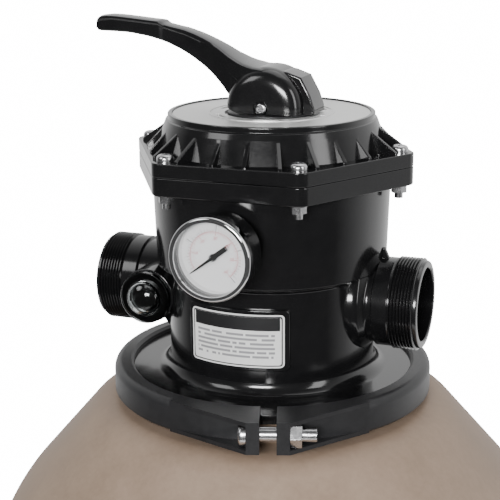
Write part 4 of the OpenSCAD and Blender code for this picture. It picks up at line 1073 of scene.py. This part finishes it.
@dataclass
class Gauge:
    """Dial print of the pressure gauge; the case is an eased copy and the bezel a plain copy."""

    height: float = 130.0
    face: float = 116.0
    zero: float = 217.0
    sweep: float = 265.0
    ring: float = 17.3
    film: float = 0.12

    def turn(self, share: float) -> float:
        """Direction in radians of a share of the sweep."""
        return math.radians(self.zero - self.sweep * share)

    def spot(self, radius: float, share: float) -> Vector:
        """Point on the dial at a radius and a share of the sweep."""
        turn = self.turn(share)
        return Vector((radius * math.cos(turn), radius * math.sin(turn), 0))

    def tick(self, solid: Solid, share: float, low: float, high: float, wide: float) -> None:
        """Add one tick mark to a solid."""
        place = self.front() @ Matrix.Rotation(self.turn(share), 4, "Z")
        half = wide / 2
        solid.slab(tube(low, high, -half, half), 0.0, self.film, place=place)

    def front(self) -> Matrix:
        """Place of the dial's face: X across, Y up, Z towards the front."""
        return Matrix.Translation((0, -self.face, self.height)) @ UPRIGHT

    def band(self, solid: Solid, low: float, high: float, first: float, last: float) -> None:
        """Add a printed arc from one share of the sweep to another."""
        count = max(4, int(60 * (last - first)))
        start, turn = self.zero - self.sweep * first, self.sweep * (last - first)
        outer = arc((0, 0), high, start, start - turn, count)
        inner = arc((0, 0), low, start - turn, start, count)
        solid.slab(outer + inner, 0.0, self.film, place=self.front())

    def figures(self, size: float, radius: float, values: Sequence[int],
                name: str) -> bpy.types.Object:
        """Numbers printed on the dial.

        Args:
            size: Height of the figures.
            radius: Distance of their middle from the dial's centre.
            values: The numbers, evenly spread over the sweep.
            name: The piece's name.

        Returns:
            One mesh with all the numbers.
        """
        bm = bmesh.new()
        for i, value in enumerate(values):
            words = bpy.data.curves.new("figure", "FONT")
            words.body, words.size = str(value), size
            words.align_x, words.align_y = "CENTER", "CENTER"
            words.extrude = self.film / 2
            holder = bpy.data.objects.new("figure", words)
            bpy.context.scene.collection.objects.link(holder)
            graph = bpy.context.evaluated_depsgraph_get()
            mesh = bpy.data.meshes.new_from_object(holder.evaluated_get(graph))
            spot = self.spot(radius, i / (len(values) - 1))
            mesh.transform(self.front() @ Matrix.Translation((spot.x, spot.y, self.film / 2)))
            bm.from_mesh(mesh)
            bpy.data.objects.remove(holder)
            bpy.data.curves.remove(words)
            bpy.data.meshes.remove(mesh)
        solid = Solid()
        solid.bm.free()
        solid.bm = bm
        bmesh.ops.remove_doubles(bm, verts=bm.verts, dist=1e-5)
        return solid.piece(name)

    def build(self, looks: Looks) -> None:
        """Print the dial and dress it."""
        black = Solid()
        for i in range(41):
            reach = 4.8 if i % 10 == 0 else 2.5 if i % 5 == 0 else 1.7
            self.tick(black, i / 40, self.ring + 0.15, self.ring + reach,
                      0.42 if i % 10 == 0 else 0.2)
        settle(black.piece("dial_scale"), "filter", "dial_white", looks.ink)
        red = Solid()
        self.band(red, self.ring - 0.28, self.ring, 0.0, 1.0)
        for i in range(61):
            reach = 2.5 if i % 10 == 0 else 1.7 if i % 5 == 0 else 1.1
            self.tick(red, i / 60, self.ring - 0.2 - reach, self.ring - 0.2,
                      0.34 if i % 10 == 0 else 0.2)
        settle(red.piece("dial_inner_scale"), "filter", "dial_white", looks.red_ink)
        settle(self.figures(2.9, 12.9, [0, 10, 20, 30, 40, 50, 60], "dial_figures"), "filter",
               "dial_white", looks.red_ink)


# ---- The rest ----


@dataclass
class Fittings:
    """Pieces whose CAD form is right as it is, apart from eased edges and a finish."""

    label_width: float = 69.0
    label_height: float = 39.0
    label_middle: float = 60.0

    def build(self, looks: Looks) -> None:
        """Refine and dress them."""
        slots = {s["node"]: s["material_slot"] for s in frame["record"]["subparts"]}
        bodies = {n: b for b, ns in frame["record"]["behaviour"]["bodies"].items() for n in ns}
        by_slot = looks.by_slot()
        for node, soft in EASED.items():
            made = refined(node, node + "_eased", soft)
            settle(made, bodies[node], slots[node], by_slot[slots[node]])
        label = refined("front_label", "label_print")
        settle(label, "filter", "label_paper",
               Print("label_print", self.label_width, self.label_height,
                     NECK + self.label_middle).material())
        for node, part in frame["nodes"].items():
            if part.hide_render:
                continue
            part.data.materials.clear()
            part.data.materials.append(by_slot[slots[node]])


EASED: Dict[str, float] = {
    "clamp_half_left": 0.6, "clamp_half_right": 0.6, "tank_base": 0.8, "clamp_bolts": 0.3,
    "clamp_nuts": 0.3, "cover_screws": 0.15, "cover_nuts": 0.2, "position_plate": 0.12,
    "index_washer": 0.3, "handle_pin": 0.12, "handle_pin_nut": 0.2, "gauge_case": 0.4,
    "gauge_bezel": 0.0, "gauge_stem": 0.2, "sight_glass": 0.0, "drain_spigot": 0.3,
    "drain_cap": 0.4, "shaft": 0.2}


@dataclass
class Studio:
    """Floor, soft boxes and the camera. Lengths in metres."""

    sensor: float = 36.0
    focal: float = 91.44
    centre_x: float = 0.3032
    centre_y: float = -0.8662
    centre_z: float = 0.9762
    yaw: float = 20.312
    pitch: float = 15.324
    roll: float = 0.456
    floor_radius: float = 0.9
    seen: float = 16.0
    behind: float = 1.15
    ahead: float = 0.1

    def camera(self) -> None:
        """Place the camera at the viewing angle."""
        lens = bpy.data.cameras.new("camera")
        lens.sensor_width, lens.lens = self.sensor, self.focal
        lens.clip_start, lens.clip_end = 0.01, 50.0
        eye = bpy.data.objects.new("camera", lens)
        bpy.context.scene.collection.objects.link(eye)
        turn = (Matrix.Rotation(math.radians(self.yaw), 4, "Z")
                @ Matrix.Rotation(math.radians(90 - self.pitch), 4, "X")
                @ Matrix.Rotation(math.radians(-self.roll), 4, "Z"))
        eye.matrix_world = Matrix.Translation(
            (self.centre_x, self.centre_y, self.centre_z)) @ turn
        bpy.context.scene.camera = eye

    def box(self, name: str, at: Tuple[float, float, float], size: Tuple[float, float],
            watts: float) -> None:
        """Add a soft box that faces the valve."""
        lamp = bpy.data.lights.new(name, "AREA")
        lamp.shape, lamp.size, lamp.size_y, lamp.energy = "RECTANGLE", size[0], size[1], watts
        holder = bpy.data.objects.new(name, lamp)
        bpy.context.scene.collection.objects.link(holder)
        holder.location = at
        aim = Vector((0, 0, 0.7)) - Vector(at)
        holder.rotation_euler = aim.to_track_quat("-Z", "Y").to_euler()

    def floor(self) -> None:
        """Add a round pale floor with a faint tone."""
        bm = bmesh.new()
        bmesh.ops.create_circle(bm, cap_ends=True, segments=128, radius=self.floor_radius)
        mesh = bpy.data.meshes.new("floor")
        bm.to_mesh(mesh)
        bm.free()
        ground = bpy.data.objects.new("floor", mesh)
        bpy.context.scene.collection.objects.link(ground)
        mesh.materials.append(Finish("floor_paper", (0.84, 0.84, 0.84), (0.88, 0.88, 0.88),
                                     gloss=(0.7, 0.8), tone_scale=2.0, grain=0.02).material())

    def world(self) -> None:
        """Set a white surround that lights from behind and stays dim in front."""
        sky = bpy.data.worlds.new("surround")
        sky.use_nodes = True
        sheet = Sheet(sky.node_tree)
        way = sheet.add("SeparateXYZ", {0: sheet.add("TexCoord").outputs["Generated"]}).outputs
        lit = sheet.span(sheet.math("ADD", way[1], sheet.math("MULTIPLY", way[2], 0.1)),
                         -0.15, 0.6, self.ahead, self.behind)
        eye = sheet.add("LightPath").outputs["Is Camera Ray"]
        unseen = sheet.math("MULTIPLY", sheet.math("SUBTRACT", 1.0, eye), lit)
        strength = sheet.math("ADD", sheet.math("MULTIPLY", eye, self.seen), unseen)
        paper = sky.node_tree.nodes["Background"]
        paper.inputs[0].default_value = (1.0, 1.0, 1.0, 1.0)
        sky.node_tree.links.new(strength, paper.inputs[1])
        bpy.context.scene.world = sky

    def build(self) -> None:
        """Set the whole stage."""
        self.camera()
        self.world()
        self.floor()
        self.box("front", (0.3, -2.4, 1.35), (0.9, 0.5), 72.0)
        self.box("key", (-1.3, -1.5, 2.1), (0.9, 0.9), 12.0)
        self.box("side", (1.7, -0.6, 1.3), (0.5, 1.4), 12.0)
        self.box("top", (0.2, 0.4, 2.4), (1.2, 1.2), 5.0)


def main() -> None:
    """Build every piece in order."""
    logging.basicConfig(level=logging.INFO, format="%(message)s")
    looks = Looks()
    for part in (Tank(), ValveBody(), Cover(), Handle(), Gauge(), Fittings()):
        log.info("building %s", type(part).__name__)
        part.build(looks)
    Studio().build()


if __name__ == "__main__":
    main()
